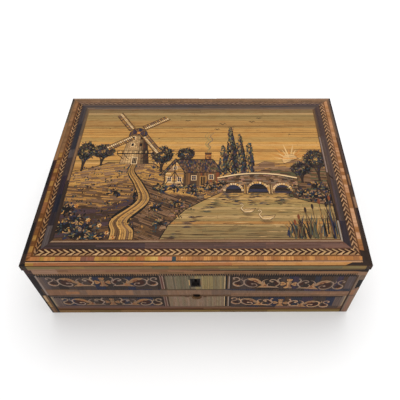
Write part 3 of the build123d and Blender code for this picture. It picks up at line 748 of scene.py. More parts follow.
# The straw round the lid's edge. The groove of the hinges takes the lower part of the back.
groove_rise = 3.7
side_edge_tints = (rgb(70, 54, 50), rgb(84, 64, 54), rgb(60, 48, 48))
lid_face_tints = (
    rgb(126, 108, 66), rgb(114, 102, 70), rgb(138, 112, 66), rgb(122, 100, 58), rgb(126, 102, 66),
)
edge_sheets = {
    "front": ((0, skin - lid_y, 0), (1, 0, 0), (0, -1, 0), lid_x, 0, lid_face_tints),
    "back": ((0, lid_y - skin, 0), (-1, 0, 0), (0, 1, 0), lid_x, groove_rise, (SAGE, GREYED, FAWN)),
    "left": ((skin - lid_x, 0, 0), (0, -1, 0), (-1, 0, 0), lid_y - skin, 0, side_edge_tints),
    "right": ((lid_x - skin, 0, 0), (0, 1, 0), (1, 0, 0), lid_y - skin, 0, side_edge_tints),
}
for side, (origin, along, out, half, rise, tints) in edge_sheets.items():
    foot = edge_z[0] + rise
    limits = rect((-half, half), (foot, edge_z[1]))
    sheet = Marquetry(f"lid_edge_{side}", origin, along, (0, 0, 1), out, limits)
    lower_tints = (FAWN, rgb(134, 94, 70), rgb(122, 88, 62)) if side == "front" else tints
    top_line, middle = edge_z[1] - 0.5, foot + 0.3 * (edge_z[1] - foot)
    sheet.run((-half, half), (foot, foot + 0.35), (DARK, UMBER), high=SUNK)
    sheet.run((-half, half), (foot + 0.35, middle), lower_tints, (20, 80))
    sheet.run((-half, half), (middle + 0.05, top_line), tints, (14, 70))
    sheet.run((-half, half), (top_line, edge_z[1]), (UMBER, DARK), high=LINE)
    if side == "front":
        sheet.run((20, half), (middle - 2.0, middle - 0.1), lid_face_tints, (14, 50), PROUD)
        crack = [(-12, 89.9), (60, 89.2), (110, 88.6), (149, 88.2)]
        sheet.ribbon(crack, (0.2, 0.8, 0.9, 1.2), DARK, HIGHER)
        for u in ((-half, 5.5 - half), (half - 5, half)):
            sheet.strips(rect(u, edge_z), 2.3, 0, (rgb(40, 24, 28), BLACK, DARK), UPPER, lengths=(2, 6))
        sheet.run((5.6 - half, -120.5), (foot + 0.35, middle), (rgb(150, 114, 88),), high=OVER)
    sheet.build(straw, "lid", "straw_edge", "lid_edge_straw")


# The picture. Its ground lies lowest, and each layer of the design a little higher.
GROUND = 0.2


def layer(number):
    return 0.228 + 0.026 * number


def ground_tint(v):
    """The colour of the straws at a height in the picture, greyer at the top and foot, golden between."""
    stops = (
        (-88, rgb(132, 108, 70)), (-50, rgb(150, 122, 74)), (-30, rgb(180, 132, 72)),
        (30, rgb(192, 142, 76)), (50, rgb(178, 132, 72)), (68, rgb(150, 114, 68)), (80, rgb(122, 98, 64)),
        (90, rgb(112, 90, 62)),
    )
    for (low, a), (high, b) in zip(stops, stops[1:]):
        if v <= high:
            return mixed(a, b, (v - low) / (high - low))


def picture_ground(sheet):
    """Long straws across the whole picture, two or three to a row, with darker ones, gaps and specks."""
    # The odd straws: up to what draw of chance a row is one, its tint and how much of it
    odd_straws = ((0.1, AMBER, 0.55), (0.2, BROWN, 0.4), (0.32, PALE, 0.35), (0.4, OLIVE, 0.5))
    splits, knots = 150, 20
    v = picture_y[0]
    while v < picture_y[1]:
        width = between(1.7, 3.9)
        base, odd = ground_tint(v), rng.random()
        for limit, tint, share in odd_straws:
            if odd < limit:
                base = mixed(base, tint, share)
                break
        u = picture_x[0] - between(0, 80)
        while u < picture_x[1]:
            end = u + between(70, 200)
            outline = rect((u + 0.12, end), (v, v + width - rng.choice((0.06, 0.1, 0.15, 0.45))))
            sheet.tile(outline, varied(base, 0.07), GROUND, low=ON_GLUE)
            u = end
        v += width
    for _ in range(splits):
        u, v = between(*picture_x), between(*picture_y)
        outline = leaf((u, v), between(4, 34), between(0.3, 0.7), between(-0.5, 0.5))
        sheet.tile(outline, mixed(ground_tint(v), UMBER, between(0.3, 0.9)), GROUND + 0.014)
    for _ in range(knots):
        u, v = between(*picture_x), between(*picture_y)
        sheet.tile(ellipse((u, v), between(0.6, 1.3), 0.5, 8), pick((UMBER, BROWN)), GROUND + 0.016)


def shape(sheet, outline, number, border=0.45, tint=DARK):
    """A dark shape just larger than an outline, a little under its layer."""
    sheet.tile(grown(outline, border), tint, layer(number) - 0.014)


def filled(sheet, outline, number, pitch, angle, tints, lengths=None, border=0.45, tint=DARK):
    shape(sheet, outline, number, border, tint)
    sheet.strips(outline, pitch, angle, tints, layer(number), lengths=lengths)


DEEP = (BLACK, DARK, NAVY, UMBER, TEAL)
GREENS = (DARK, NAVY, UMBER, MOSS, TEAL, PLUM)


def tree(sheet, u, foot, tall, half_u, half_v, number):
    """A spreading tree: a forked trunk, a dark lobed crown, and lit leaves on its upper left."""
    top, size, lobes = foot + tall, half_u * half_v, 9
    for reach in (-0.5, 0.05, 0.5):
        fork = [(u, foot), (u + reach * 1.6, foot + tall * 0.5), (u + half_u * reach, top + half_v * 0.4)]
        sheet.ribbon(fork, (2.4, 1.6, 0.7), DARK, layer(number) - 0.01)
    heart = (u, top + half_v * 0.6)
    for middle in ellipse(heart, half_u * 0.6, half_v * 0.6, lobes):
        lobe = (middle, half_u * 0.42, half_v * 0.42)
        sheet.tile(ellipse(*lobe, 10), pick((BLACK, DARK)), layer(number) - 0.006)
        sheet.leaves(*lobe, int(size / 6), 2.6, GREENS, layer(number))
    lit = ((heart[0] - half_u * 0.25, heart[1] + half_v * 0.25), half_u * 0.7, half_v * 0.6)
    sheet.leaves(*lit, int(size / 5), 2.0, (OLIVE, HONEY, SAGE), layer(number + 1))


def poplar(sheet, u, foot, height, half):
    """A tall narrow tree of upright leaves over a dark heart."""
    heart = [(0, 0), (0.8, 0.1), (1, 0.3), (0.8, 0.6), (0.3, 0.92), (0, 1)]
    right = [(u + half * a, foot + height * b) for a, b in heart]
    sheet.tile(right + [(2 * u - p[0], p[1]) for p in reversed(right[1:-1])], BLACK, layer(1))
    sheet.tile(rect((u - 0.9, u + 0.9), (foot - 7, foot + 3)), UMBER, layer(1))
    parts, broadest = 9, 0.32
    rise = height / parts
    for i in range(parts):
        share = (i + 0.5) / parts
        reach = half * (1.05 - abs(share - broadest) * 1.15)
        v = foot + height * share
        sheet.leaves((u, v), reach, rise * 0.7, 18, 3.8, GREENS, layer(2), 90)
        sheet.leaves((u - reach * 0.35, v), reach * 0.5, rise * 0.6, 5, 3.0, (SAGE, HONEY), layer(3), 90)


def bushes(sheet, places, number=3):
    """Low bushes, each at u and v with its reach: dark leaves, with a few lighter ones over them."""
    for u, v, reach in places:
        sheet.tile(ellipse((u, v), reach * 0.8, reach * 0.5, 12), BLACK, layer(number) - 0.01)
        sheet.leaves((u, v), reach, reach * 0.62, int(5.5 * reach), 3.6, DEEP, layer(number))
        lit = ((u - 1, v + 1), reach * 0.9, reach * 0.5)
        sheet.leaves(*lit, int(1.8 * reach), 2.8, (SAGE, HONEY, SAND), layer(number + 1))


def hills(sheet):
    """Far hills on the right, with a low sun and its rays behind them."""
    sun, rays = (92, 9), 13
    for i in range(rays):
        angle, length = 12 + i * 13, 24 if i % 2 else 17
        sheet.tile(leaf(sun, length, 1.8, angle), pick((PALE, AMBER), 0.06), GROUND + 0.016, angle)
    filled(sheet, ellipse(sun, 8, 8), 0, 2.0, 0, (PALE, rgb(210, 150, 84)), border=0.4, tint=BROWN)
    far = [(30, -16), (126, -16), (126, 9), (112, 5), (100, 11), (84, 3), (66, 7), (50, -2)]
    near = [(20, -18), (126, -18), (126, -5), (108, -1), (92, -8), (70, -3), (52, -9), (30, -11)]
    filled(sheet, far, 1, 1.6, 3, (SAND, FAWN, HONEY), (6, 24), border=0.35, tint=UMBER)
    filled(sheet, near, 2, 1.6, -3, (BROWN, FAWN, UMBER, MOSS), (5, 18), border=0.35)


def water(sheet):
    """Ripples, and the dark reflections of the bank and the trees."""
    ripples, reflections = 210, 90
    for _ in range(ripples):
        u, v = between(-24, 122), between(-86, -34)
        tint = pick((MOSS, UMBER, BROWN, SAGE, PALE))
        sheet.tile(leaf((u, v), between(3, 16), 0.6, 0), tint, layer(0))
    for _ in range(reflections):
        u = between(-30, 26)
        v = -88 + (u + 34) * 0.92 - between(0, 9)
        sheet.tile(leaf((u - 3, v), between(4, 11), 1.0, 0), pick((NAVY, UMBER, DARK, MOSS)), layer(0))


def bank(sheet):
    """The near bank on the left in five slopes, with a pale path that winds up to the mill."""
    outline = [
        (-126, -88), (-34, -88), (-27, -72), (-12, -54), (8, -41), (24, -32), (22, -22), (-18, -20),
        (-34, -8), (-46, 4), (-92, 5), (-110, -3), (-126, -7),
    ]
    shape(sheet, outline, 1, 0.8, BLACK)
    slopes = (
        (
            [(-126, -24), (-96, -26), (-60, -14), (-46, 4), (-92, 5), (-110, -3), (-126, -7)], 9,
            (HONEY, GOLD, FAWN, SAND),
        ),
        (
            [(-126, -48), (-90, -52), (-62, -38), (-60, -14), (-96, -26), (-126, -24)], -5,
            (BROWN, FAWN, HONEY),
        ),
        (
            [(-126, -88), (-58, -88), (-58, -62), (-62, -38), (-90, -52), (-126, -48)], 6,
            (UMBER, BROWN, PLUM),
        ),
        (
            [(-60, -14), (-28, -36), (8, -41), (24, -32), (22, -22), (-18, -20), (-34, -8), (-46, 4)], -14,
            (FAWN, GOLD, HONEY),
        ),
        (
            [(-58, -88), (-34, -88), (-27, -72), (-12, -54), (8, -41), (-28, -36), (-60, -14), (-58, -62)],
            -24, (UMBER, BROWN, FAWN),
        ),
    )
    for part, angle, tints in slopes:
        sheet.strips(part, 1.3, angle, tints, layer(1), lengths=(3, 14))
    # Tufts of grass, but not by the water
    tufts, shore, far_enough = 170, ((-34, -88), (24, -32)), 150
    for _ in range(tufts):
        u, v = between(-124, 10), between(-86, 0)
        if side_of(*shore, (u, v)) > far_enough:
            sheet.leaves((u, v), 3.0, 1.0, 4, 2.6, DEEP + (MOSS, HONEY), layer(1) + 0.012, 90)
    # The path, as lanes of straw on a dark bed, with ruts and specks
    spread, lanes, ruts, specks = (21, 20, 15, 11, 8, 6, 4.5), 10, (2, 3, 7), 60
    line = [(-67, -87.1), (-67, -78), (-71, -66), (-52, -44), (-58, -24), (-67, -8), (-66, 4)]
    sheet.ribbon(line, [w + 1.6 for w in spread], BLACK, layer(2) - 0.012)
    for lane in range(lanes):
        share = (lane - (lanes - 1) / 2) / lanes
        points = [(u + w * share, v) for (u, v), w in zip(line, spread)]
        widths = [w / lanes * 0.84 for w in spread]
        tints = (BROWN, FAWN) if lane in ruts else (GOLD, HONEY, rgb(176, 132, 74))
        sheet.ribbon(points, widths, pick(tints), layer(2))
    for _ in range(specks):
        v = between(-86, -10)
        u = between(-9, 9) * (10 - v) / 90 + (-60 if v > -56 else -68)
        sheet.tile(leaf((u, v), between(2, 5), 0.8, between(-8, 8)), pick((UMBER, BROWN)), layer(2) + 0.015)
    stones = (
        (-24, -62, 3.4), (-14, -52, 2.6), (2, -41, 3.0), (13, -35, 2.2), (-31, -76, 3.4), (-20, -57, 2.0),
    )
    for u, v, size in stones:
        stone = [(u + a * size, v + b * size) for a, b in ((-1, 0), (1, 0), (0.7, 0.9), (-0.4, 1.2))]
        filled(sheet, stone, 3, 1.2, 12, (SAND, GREYED, ROSE), border=0.3)
    bushes(sheet, ((-34, -70, 5), (-20, -47, 5), (-40, -52, 6), (-4, -33, 5)))
    bushes(sheet, ((12, -28, 4), (-80, -34, 5), (-38, -30, 5)))


def sail(sheet, hub, angle, reach):
    """One sail: its stock, a lattice along one side and pale cloth on the lattice's inner half."""
    turn = math.radians(angle)
    along, across = Vector((math.cos(turn), math.sin(turn))), Vector((-math.sin(turn), math.cos(turn)))

    def bar(start, end, width, tint, height):
        a, b = (Vector(hub) + along * p[0] + across * p[1] for p in (start, end))
        left = (b - a).normalized().orthogonal() * (width / 2)
        sheet.tile([tuple(p) for p in (a - left, b - left, b + left, a + left)], tint, height, angle)

    bar((8, 3.6), (reach - 3, 3.6), 6.4, BLACK, layer(4))
    rungs = 14
    for i in range(rungs):
        place = 8.6 + (reach - 11.8) * i / (rungs - 1)
        bar((place + 1.0, 3.7), (place + 1.0, 6.5), 1.5, pick((HONEY, FAWN), 0.1), layer(5) - 0.014)
        bar((place + 0.9, 0.6), (place + 0.9, 3.2), 1.7, pick((PALE, CREAM), 0.05), layer(5) - 0.014)
        bar((place, 0), (place, 6.7), 0.5, UMBER, layer(5) - 0.004)
    for offset, width in ((6.6, 0.7), (3.4, 0.45)):
        bar((8, offset), (reach - 2.4, offset), width, DARK, layer(5))
    bar((-1, 0), (reach, 0), 1.6, DARK, layer(5))
    bar((0, 0.1), (reach - 0.6, 0.1), 0.5, HONEY, layer(6) - 0.012)


def windmill(sheet, u, foot, height, foot_half, top_half):
    """A round tower mill, light to dark across, with a gallery, a cap and four lattice sails."""
    straws, top = 11, foot + height
    body = [(u - foot_half, foot), (u + foot_half, foot), (u + top_half, top), (u - top_half, top)]
    shape(sheet, body, 2)
    for i in range(straws):
        a, b = 2 * i / straws - 1, 2 * (i + 1) / straws - 1.015
        outline = [(u + foot_half * a, foot), (u + foot_half * b, foot)]
        outline += [(u + top_half * b, top), (u + top_half * a, top)]
        base = mixed(DARK, PALE, max(math.cos((a + 0.5) * 1.35), 0.0) ** 1.3)
        sheet.strips(outline, 2.6, 0, (base, mixed(base, RUST, 0.3), mixed(base, UMBER, 0.35)), layer(2))
    for v, half in ((foot + 25, 1.3), (foot + 35, 1.1)):
        for offset in (-4.4, 4.4):
            window = rect((u + offset - half, u + offset + half), (v, v + 4.2))
            shape(sheet, window, 3, 0.7, CREAM if offset < 0 else BROWN)
            sheet.tile(window, BLACK, layer(3))
    door = rect((u - 2.2, u + 2.2), (foot, foot + 8.4))
    filled(sheet, door, 3, 1.5, 90, (DARK, UMBER, NAVY), border=0.8, tint=CREAM)
    deck, reach, posts = foot + 13.5, foot_half + 4.5, 15
    sheet.tile(rect((u - reach, u + reach), (deck, deck + 1.4)), BLACK, layer(4))
    sheet.tile(rect((u - reach, u + reach), (deck + 4.4, deck + 5.1)), DARK, layer(4))
    for i in range(posts):
        place = u - reach + 0.3 + (2 * reach - 0.6) * i / (posts - 1)
        post = rect((place - 0.35, place + 0.35), (deck + 1.2, deck + 4.6))
        sheet.tile(post, PALE if i % 2 else DARK, layer(4))
    for end in (-1, 1):
        for start in (0.45, 0.8):
            brace = [(u + end * foot_half * start, foot + 6.5), (u + end * reach * (start + 0.18), deck)]
            sheet.ribbon(brace, (0.7, 0.7), DARK, layer(4), 1)
    cap = [(9.6, -0.5), (8.8, 4), (5.4, 8.4), (0, 10.4), (-5.4, 8.4), (-8.8, 4), (-9.6, -0.5)]
    cap = [(u + a, top + b) for a, b in cap]
    filled(sheet, cap, 3, 1.5, 90, (PLUM, VIOLET, NAVY, UMBER, BROWN), border=0.5, tint=BLACK)
    hub = (u, top + 3.2)
    for arm in range(4):
        sail(sheet, hub, 34 + 90 * arm, 39)
    sheet.tile(ellipse(hub, 1.9, 1.9, 12), AMBER, layer(6) - 0.004)


def thatch(sheet, outline, number, slant):
    """A roof of short pointed tufts laid in rows, the upper over the lower."""
    shape(sheet, outline, number, 0.6, BLACK)
    sheet.tile(outline, DARK, layer(number) - 0.01)
    low, high = min(p[1] for p in outline), max(p[1] for p in outline)
    left, right = min(p[0] for p in outline), max(p[0] for p in outline)
    tints = (PLUM, UMBER, NAVY, BROWN, MOSS, FAWN)
    row, v = 0, low + 2.6
    while v < high + 1.5:
        u = left - 1 + (row % 2) * 0.8
        while u < right + 1:
            tuft = within(leaf((u, v), 3.6, 1.7, slant + between(-9, 9)), outline)
            if len(tuft) > 2:
                sheet.tile(tuft, pick(tints, 0.15), layer(number) + 0.0008 * row, slant)
            u += 1.6
        v += 1.9
        row += 1


def pane(sheet, u, v, half, tall, number):
    """A dark window of four panes in a pale frame."""
    glass = rect((u - half, u + half), (v, v + tall))
    shape(sheet, glass, number, 0.7, CREAM)
    sheet.tile(glass, NAVY, layer(number))
    middle = v + tall / 2
    for bar in (rect((u - 0.2, u + 0.2), (v, v + tall)), rect((u - half, u + half), (middle, middle + 0.4))):
        sheet.tile(bar, PALE, layer(number) + 0.012)


def cottage(sheet):
    """A thatched cottage: a timbered gable, a long shaded wall, and a brick chimney with smoke."""
    gable = [(-34, -26), (-14, -26), (-14, -7), (-24, 8), (-34, -7)]
    wall = [(-14, -26), (20, -23.5), (20, -6), (-14, -7)]
    filled(sheet, gable, 3, 2.0, 0, (GOLD, PALE, HONEY, SAND), (4, 11))
    filled(sheet, wall, 3, 2.0, 90, (BROWN, RUST, UMBER, rgb(120, 82, 50)))
    timbers = (
        ((-33.4, -7.4), (-14.6, -7.4)), ((-24, -26), (-24, 6)), ((-33.4, -25.6), (-24.5, -8)),
        ((-14.6, -25.6), (-23.5, -8)), ((-33.4, -26), (-33.4, -7)), ((-14.6, -26), (-14.6, -7)),
    )
    for ends in timbers:
        sheet.ribbon(ends, (1.0, 1.0), DARK, layer(4) - 0.01, 1)
    for place in ((-29, -20, 1.8, 5), (-19, -20, 1.8, 5), (-24, -4, 1.5, 4)):
        pane(sheet, *place, 4)
    for place in ((-5, -18, 2, 5.4), (12, -17, 2, 5.4)):
        pane(sheet, *place, 4)
    door = rect((1.6, 6.6), (-24.8, -13.6))
    filled(sheet, door, 4, 1.3, 90, (BLACK, DARK, UMBER), border=0.8, tint=HONEY)
    filled(sheet, rect((6, 11.5), (6, 18.5)), 3, 1.7, 0, (RUST, AMBER, BROWN), (1.6, 2.8), 0.4)
    sheet.tile(rect((5.2, 12.3), (18, 19.6)), DARK, layer(4))
    smoke = ((8, 20), (10.5, 25), (7, 30), (11, 36), (8, 42), (12, 48))
    for shift, width in ((0, 1.5), (2.2, 1.0), (-2.0, 0.9)):
        points = [(u + shift * i / 3, v + abs(shift)) for i, (u, v) in enumerate(smoke)]
        sheet.ribbon(points, (0.5, width, width, 0.3), pick((GREYED, OLIVE)), layer(1))
    thatch(sheet, [(-13.5, -8.5), (23.5, -7.5), (13.5, 9.6), (-24, 9.6)], 4, -78)
    thatch(sheet, [(-37.5, -10.5), (-34.6, -11.2), (-22.6, 7.8), (-24, 10.6)], 5, -110)
    bushes(sheet, ((-36, -27, 5), (-22, -28, 4), (-8, -27, 4.5), (10, -26, 5), (21, -24, 5)), 4)


def bridge(sheet):
    """A stone bridge of three arches, with a pale coping, and its shadow broken up in the water."""
    left, right, foot = 18.0, 96.0, -34.0
    middle = (left + right) / 2

    def deck(u):
        return -15.5 + 6 * (1 - ((u - middle) / (right - middle)) ** 2)

    line = [left + (right - left) * i / 12 for i in range(13)]
    outline = [(left, foot), (right, foot)] + [(u, deck(u)) for u in reversed(line)]
    filled(sheet, outline, 3, 2.0, 0, (SAND, FAWN, GREYED, BROWN, ROSE, UMBER), (2.5, 6))
    sheet.ribbon([(u, deck(u)) for u in line[::3]], (1.6, 1.6), CREAM, layer(5))
    sheet.ribbon([(u, deck(u) - 1.4) for u in line[::3]], (0.9, 0.9), BLACK, layer(4))
    sheet.ribbon([(u, deck(u) - 4.2) for u in line[::3]], (0.6, 0.6), UMBER, layer(4))
    for u, radius in ((33.5, 7.6), (57, 9.4), (80.5, 7.6)):
        spring = foot + 2
        turns = [t * math.pi / 16 for t in range(17)]
        arc = [(u + radius * math.cos(t), spring + radius * math.sin(t)) for t in turns]
        opening = [(u - radius, foot - 0.5), (u + radius, foot - 0.5)] + arc
        sheet.strips(opening, 1.8, 0, (BLACK, NAVY, DARK), layer(4), gap=(0.02, 0.05))
        stones = 13
        for i in range(stones):
            a, b = math.pi * i / stones + 0.03, math.pi * (i + 1) / stones - 0.03
            ring = ((radius + 2.3, a), (radius + 2.3, b), (radius - 0.1, b), (radius - 0.1, a))
            stone = [(u + r * math.cos(t), spring + r * math.sin(t)) for r, t in ring]
            sheet.tile(stone, pick((PALE, GOLD, SAND, CREAM), 0.12), layer(5), math.degrees(a))
        for _ in range(34):
            place, v = u + between(-radius, radius), foot - between(1, 15)
            shadow = leaf((place - 3, v), between(3, 9), 1.0, 0)
            sheet.tile(shadow, pick((NAVY, UMBER, DARK, MOSS)), layer(1))
    for u in (45.2, 68.8):
        pier = [(u - 1.9, foot - 1.5), (u + 1.9, foot - 1.5), (u + 1.5, foot + 10), (u - 1.5, foot + 10)]
        filled(sheet, pier, 5, 1.4, 90, (PALE, HONEY, BROWN), border=0.4)


def far_bank(sheet):
    """The bank beyond the bridge, with trees and bushes."""
    outline = [(86, -38), (104, -45), (126, -50), (126, -12), (104, -14), (92, -20)]
    filled(sheet, outline, 2, 2.0, -6, (BROWN, MOSS, UMBER, FAWN), (3, 12), 0.6, BLACK)
    tree(sheet, 118, -20, 22, 12, 13, 3)
    tree(sheet, 101, -22, 13, 10, 9, 3)
    bushes(sheet, ((92, -30, 5), (100, -35, 6), (110, -38, 7), (121, -42, 7), (114, -26, 6), (124, -30, 5)))


def swan(sheet, u, v, size):
    """A white swan that swims to the left."""
    body = [(-1, 0.1), (-0.6, -0.32), (0.5, -0.34), (1.1, 0.1), (1.35, 0.55), (0.4, 0.42), (-0.4, 0.4)]
    filled(sheet, [(u + a * size, v + b * size) for a, b in body], 2, 1.1, 8, (CREAM, PALE), border=0.4)
    neck = [(-0.8, 0.1), (-1.15, 0.7), (-0.75, 1.15), (-1.0, 1.55), (-1.35, 1.35)]
    points = [(u + a * size, v + b * size) for a, b in neck]
    sheet.ribbon(points, (1.9, 1.4, 1.1, 1.3, 0.9), DARK, layer(2))
    sheet.ribbon(points, (1.2, 0.9, 0.6, 0.8, 0.4), CREAM, layer(3))
    for i in range(3):
        sheet.tile(leaf((u - size * (1.2 - 0.2 * i), v - 2.6 - 1.5 * i), size * 2, 0.8, 0), UMBER, layer(1))


def foreground(sheet):
    """Dark bushes in the near left corner, flowers, reeds with bulrushes on the right, and far birds."""
    bushes(sheet, ((-118, -74, 12), (-104, -82, 12), (-121, -54, 9)))
    bushes(sheet, ((-90, -86, 9), (-110, -66, 9), (-99, -74, 8)))
    reeds, reed_tints = 90, DEEP + (MOSS, BROWN, HONEY)
    for i in range(reeds):
        root = (min(between(80, 125), 124.4), max(between(-88, -80), -86.8))
        tall = 10 + 26 * (root[0] - 76) / 45 * rng.random()
        lean = min(between(-5, 5), 124.6 - root[0])
        points = [root, (root[0] + lean * 0.3, root[1] + tall * 0.55), (root[0] + lean, root[1] + tall)]
        sheet.ribbon(points, (1.4, 1.2, 0.2), pick(reed_tints, 0.15), layer(3) + 0.0003 * i, 4)
    for u, v in ((92, -66), (99, -58), (106, -54), (113, -48), (119, -52), (88, -72), (123, -44)):
        sheet.ribbon([(u + 1, -86), (u, v)], (0.5, 0.5), DARK, layer(5), 2)
        sheet.tile(ellipse((u, v + 3), 1.2, 3.2, 12), pick((RUST, DARK)), layer(5), 90)
    for u, v in ((-88, -72), (-80, -80), (-99, -66), (-113, -50), (-74, -85)):
        for petal in range(6):
            angle = petal * 60 + 15
            sheet.tile(leaf((u, v), 2.6, 1.5, angle), pick((PALE, AMBER)), layer(5), angle)
        sheet.tile(ellipse((u, v), 0.8, 0.8, 8), RUST, layer(6) - 0.01)
    birds = ((24, 62, 4.4), (33, 57, 3.6), (18, 54, 3.2), (56, 66, 4.0), (64, 72, 2.8), (-14, 68, 3.4))
    for u, v, size in birds:
        for end in (-1, 1):
            points = [(u, v), (u + end * size * 0.5, v + size * 0.45), (u + end * size, v + size * 0.1)]
            sheet.ribbon(points, (0.8, 0.9, 0.15), DARK, layer(1), 4)


axes = ((1, 0, 0), (0, 1, 0), (0, 0, 1))
picture = Marquetry("lid_picture", (0, 0, picture_z[0]), *axes, rect(picture_x, picture_y))
picture_ground(picture)
water(picture)
hills(picture)
for stand in ((42, -12, 56, 5.4), (33, -12, 66, 6.2), (51, -13, 44, 4.8), (24, -12, 38, 4.6)):
    poplar(picture, *stand)
bank(picture)
for stand in ((-38, -8, 17, 11, 12), (-99, 1, 15, 12, 10), (-117, -6, 20, 9, 13), (-14, -2, 14, 9, 9)):
    tree(picture, *stand, 2)
windmill(picture, -66, 4, 42, 14.5, 9.0)
bridge(picture)
cottage(picture)
far_bank(picture)
swan(picture, 46, -56, 5.2)
swan(picture, 63, -64, 5.8)
foreground(picture)
picture.build(straw, "lid", "straw_picture", "picture_straw")

# The scroll ornament, as half of it right of its middle: u out from the middle, v up from the panel's foot
scroll_ground = (
    NAVY, VIOLET, DARK, rgb(60, 48, 42), rgb(52, 42, 38), rgb(68, 54, 48), rgb(46, 46, 56), UMBER,
)
scroll_line_tints = {
    "faded": (rgb(152, 128, 112), rgb(138, 114, 100), rgb(158, 130, 104)),
    "clear": (rgb(172, 146, 124), rgb(154, 130, 110), rgb(180, 150, 118)),
    "dull": (rgb(156, 130, 110), rgb(138, 114, 98), rgb(162, 132, 106)),
    "ruddy": (rgb(194, 154, 122), rgb(176, 138, 108), rgb(202, 158, 116)),
}
scroll_leaf = (rgb(168, 128, 90), rgb(150, 116, 86), rgb(178, 132, 86))
scroll_heart = (rgb(58, 30, 20), rgb(50, 28, 22))
scroll_vein = (rgb(150, 92, 54), rgb(128, 74, 44))
scroll_hearts = (
    [(7.4, 8.8), (10.6, 7.2), (13, 10), (13.8, 13.8), (10.6, 15.8), (8.2, 13)],
    [(27.4, 9.6), (29.6, 5), (35.6, 4.4), (39, 8.6), (38.6, 13.6), (34.6, 15), (30.4, 13.2)],
    [(43, 7.4), (45.6, 5), (48.6, 7.4), (48.8, 11.2), (45.2, 12)],
)
scroll_leaves = (
    [(0, 15.0), (1.7, 15.6), (2.9, 18.2), (2.2, 20.2), (0.8, 19.6), (0, 20.9)],
    [(0, 14.8), (0, 2.4), (2.2, 1.6), (4.4, 2.6), (2.8, 5.2), (1.7, 8.4), (1.8, 11.4), (2.6, 14.2)],
    [
        (2.2, 9.6), (4.0, 8.0), (6.4, 6.6), (7.9, 8.6), (6.6, 10.6), (7.9, 13.0), (6.0, 14.6), (3.9, 13.0),
        (2.3, 11.4),
    ],
    [
        (9.4, 2.6), (18, 2.3), (29.4, 1.6), (27.2, 3.6), (24.8, 6.2), (23.8, 9.2), (22.8, 14.8),
        (21.4, 9.4), (18.8, 5.6), (12, 4.4),
    ],
    [
        (24, 7), (27, 8.9), (29.6, 12), (31.4, 12.4), (32.8, 14.6), (35.2, 14.7), (37.4, 16.4),
        (38.6, 18.8), (33.4, 19.8), (29, 18.2), (25.8, 14.4), (24, 10.6),
    ],
    [(44.4, 2.2), (49.6, 3.9), (52, 8.4), (49.4, 7.6), (47.2, 5.6), (44.8, 5)],
)
scroll_lines = (
    (
        [(8.0, 20.8), (10.4, 18.4), (9.8, 14.6), (8.4, 11.6), (9.4, 7.8), (11.2, 5.0), (8.4, 1.9)],
        (0.5, 1.3, 1.4, 1.2, 0.5),
    ),
    ([(10.0, 12.6), (12.4, 16.8), (15.8, 17.8), (17.8, 15.2), (15.8, 13.2)], (0.4, 1.0, 1.1, 0.9, 0.8)),
    ([(9.6, 3.8), (13, 3.0), (18, 4.0), (22, 5.6)], (0.6, 1.0, 1.1, 1.2)),
    (
        [
            (36.8, 18), (40.2, 15.8), (41.2, 11.4), (39.6, 6.2), (35.6, 2.7), (31.2, 2.4), (29, 5.2),
            (30.4, 8.6), (33.4, 8.2),
        ],
        (0.8, 1.3, 1.2, 1.1, 1.1, 1.0, 0.9, 0.9, 0.8),
    ),
    (
        [
            (40.4, 9.6), (42.6, 4.8), (46.4, 2.9), (50.2, 5.4), (50.2, 10.2), (46.8, 12.8), (45.0, 16.2),
            (47.2, 19.6), (50.6, 19), (50.6, 16.8),
        ],
        (0.5, 1.0, 1.3, 1.2, 1.1, 1.0, 0.9, 1.0, 0.9, 0.6),
    ),
    ([(23.4, 9.8), (24.2, 13.4), (22.2, 16.8), (19.2, 18.2)], (1.0, 0.9, 0.7, 0.2)),
    ([(41.6, 13.4), (43.4, 16.4), (42.4, 19.4)], (0.9, 0.8, 0.2)),
    ([(18.4, 4.2), (19.6, 8.4), (17.6, 11.4)], (0.8, 0.7, 0.2)),
)
bed_top = 0.325
scroll_balls = ((33.4, 8.4, 1.2), (15.6, 13.8, 1.3), (50.2, 16.8, 1.1), (9.2, 20.6, 1.0))


def scroll_bed(sheet, u, v, high, inside=None):
    """The dark upright straws that the scrolls lie on."""
    sheet.ladder(u, v, scroll_ground, (1.6, 2.0), (2, 11), high, inside)


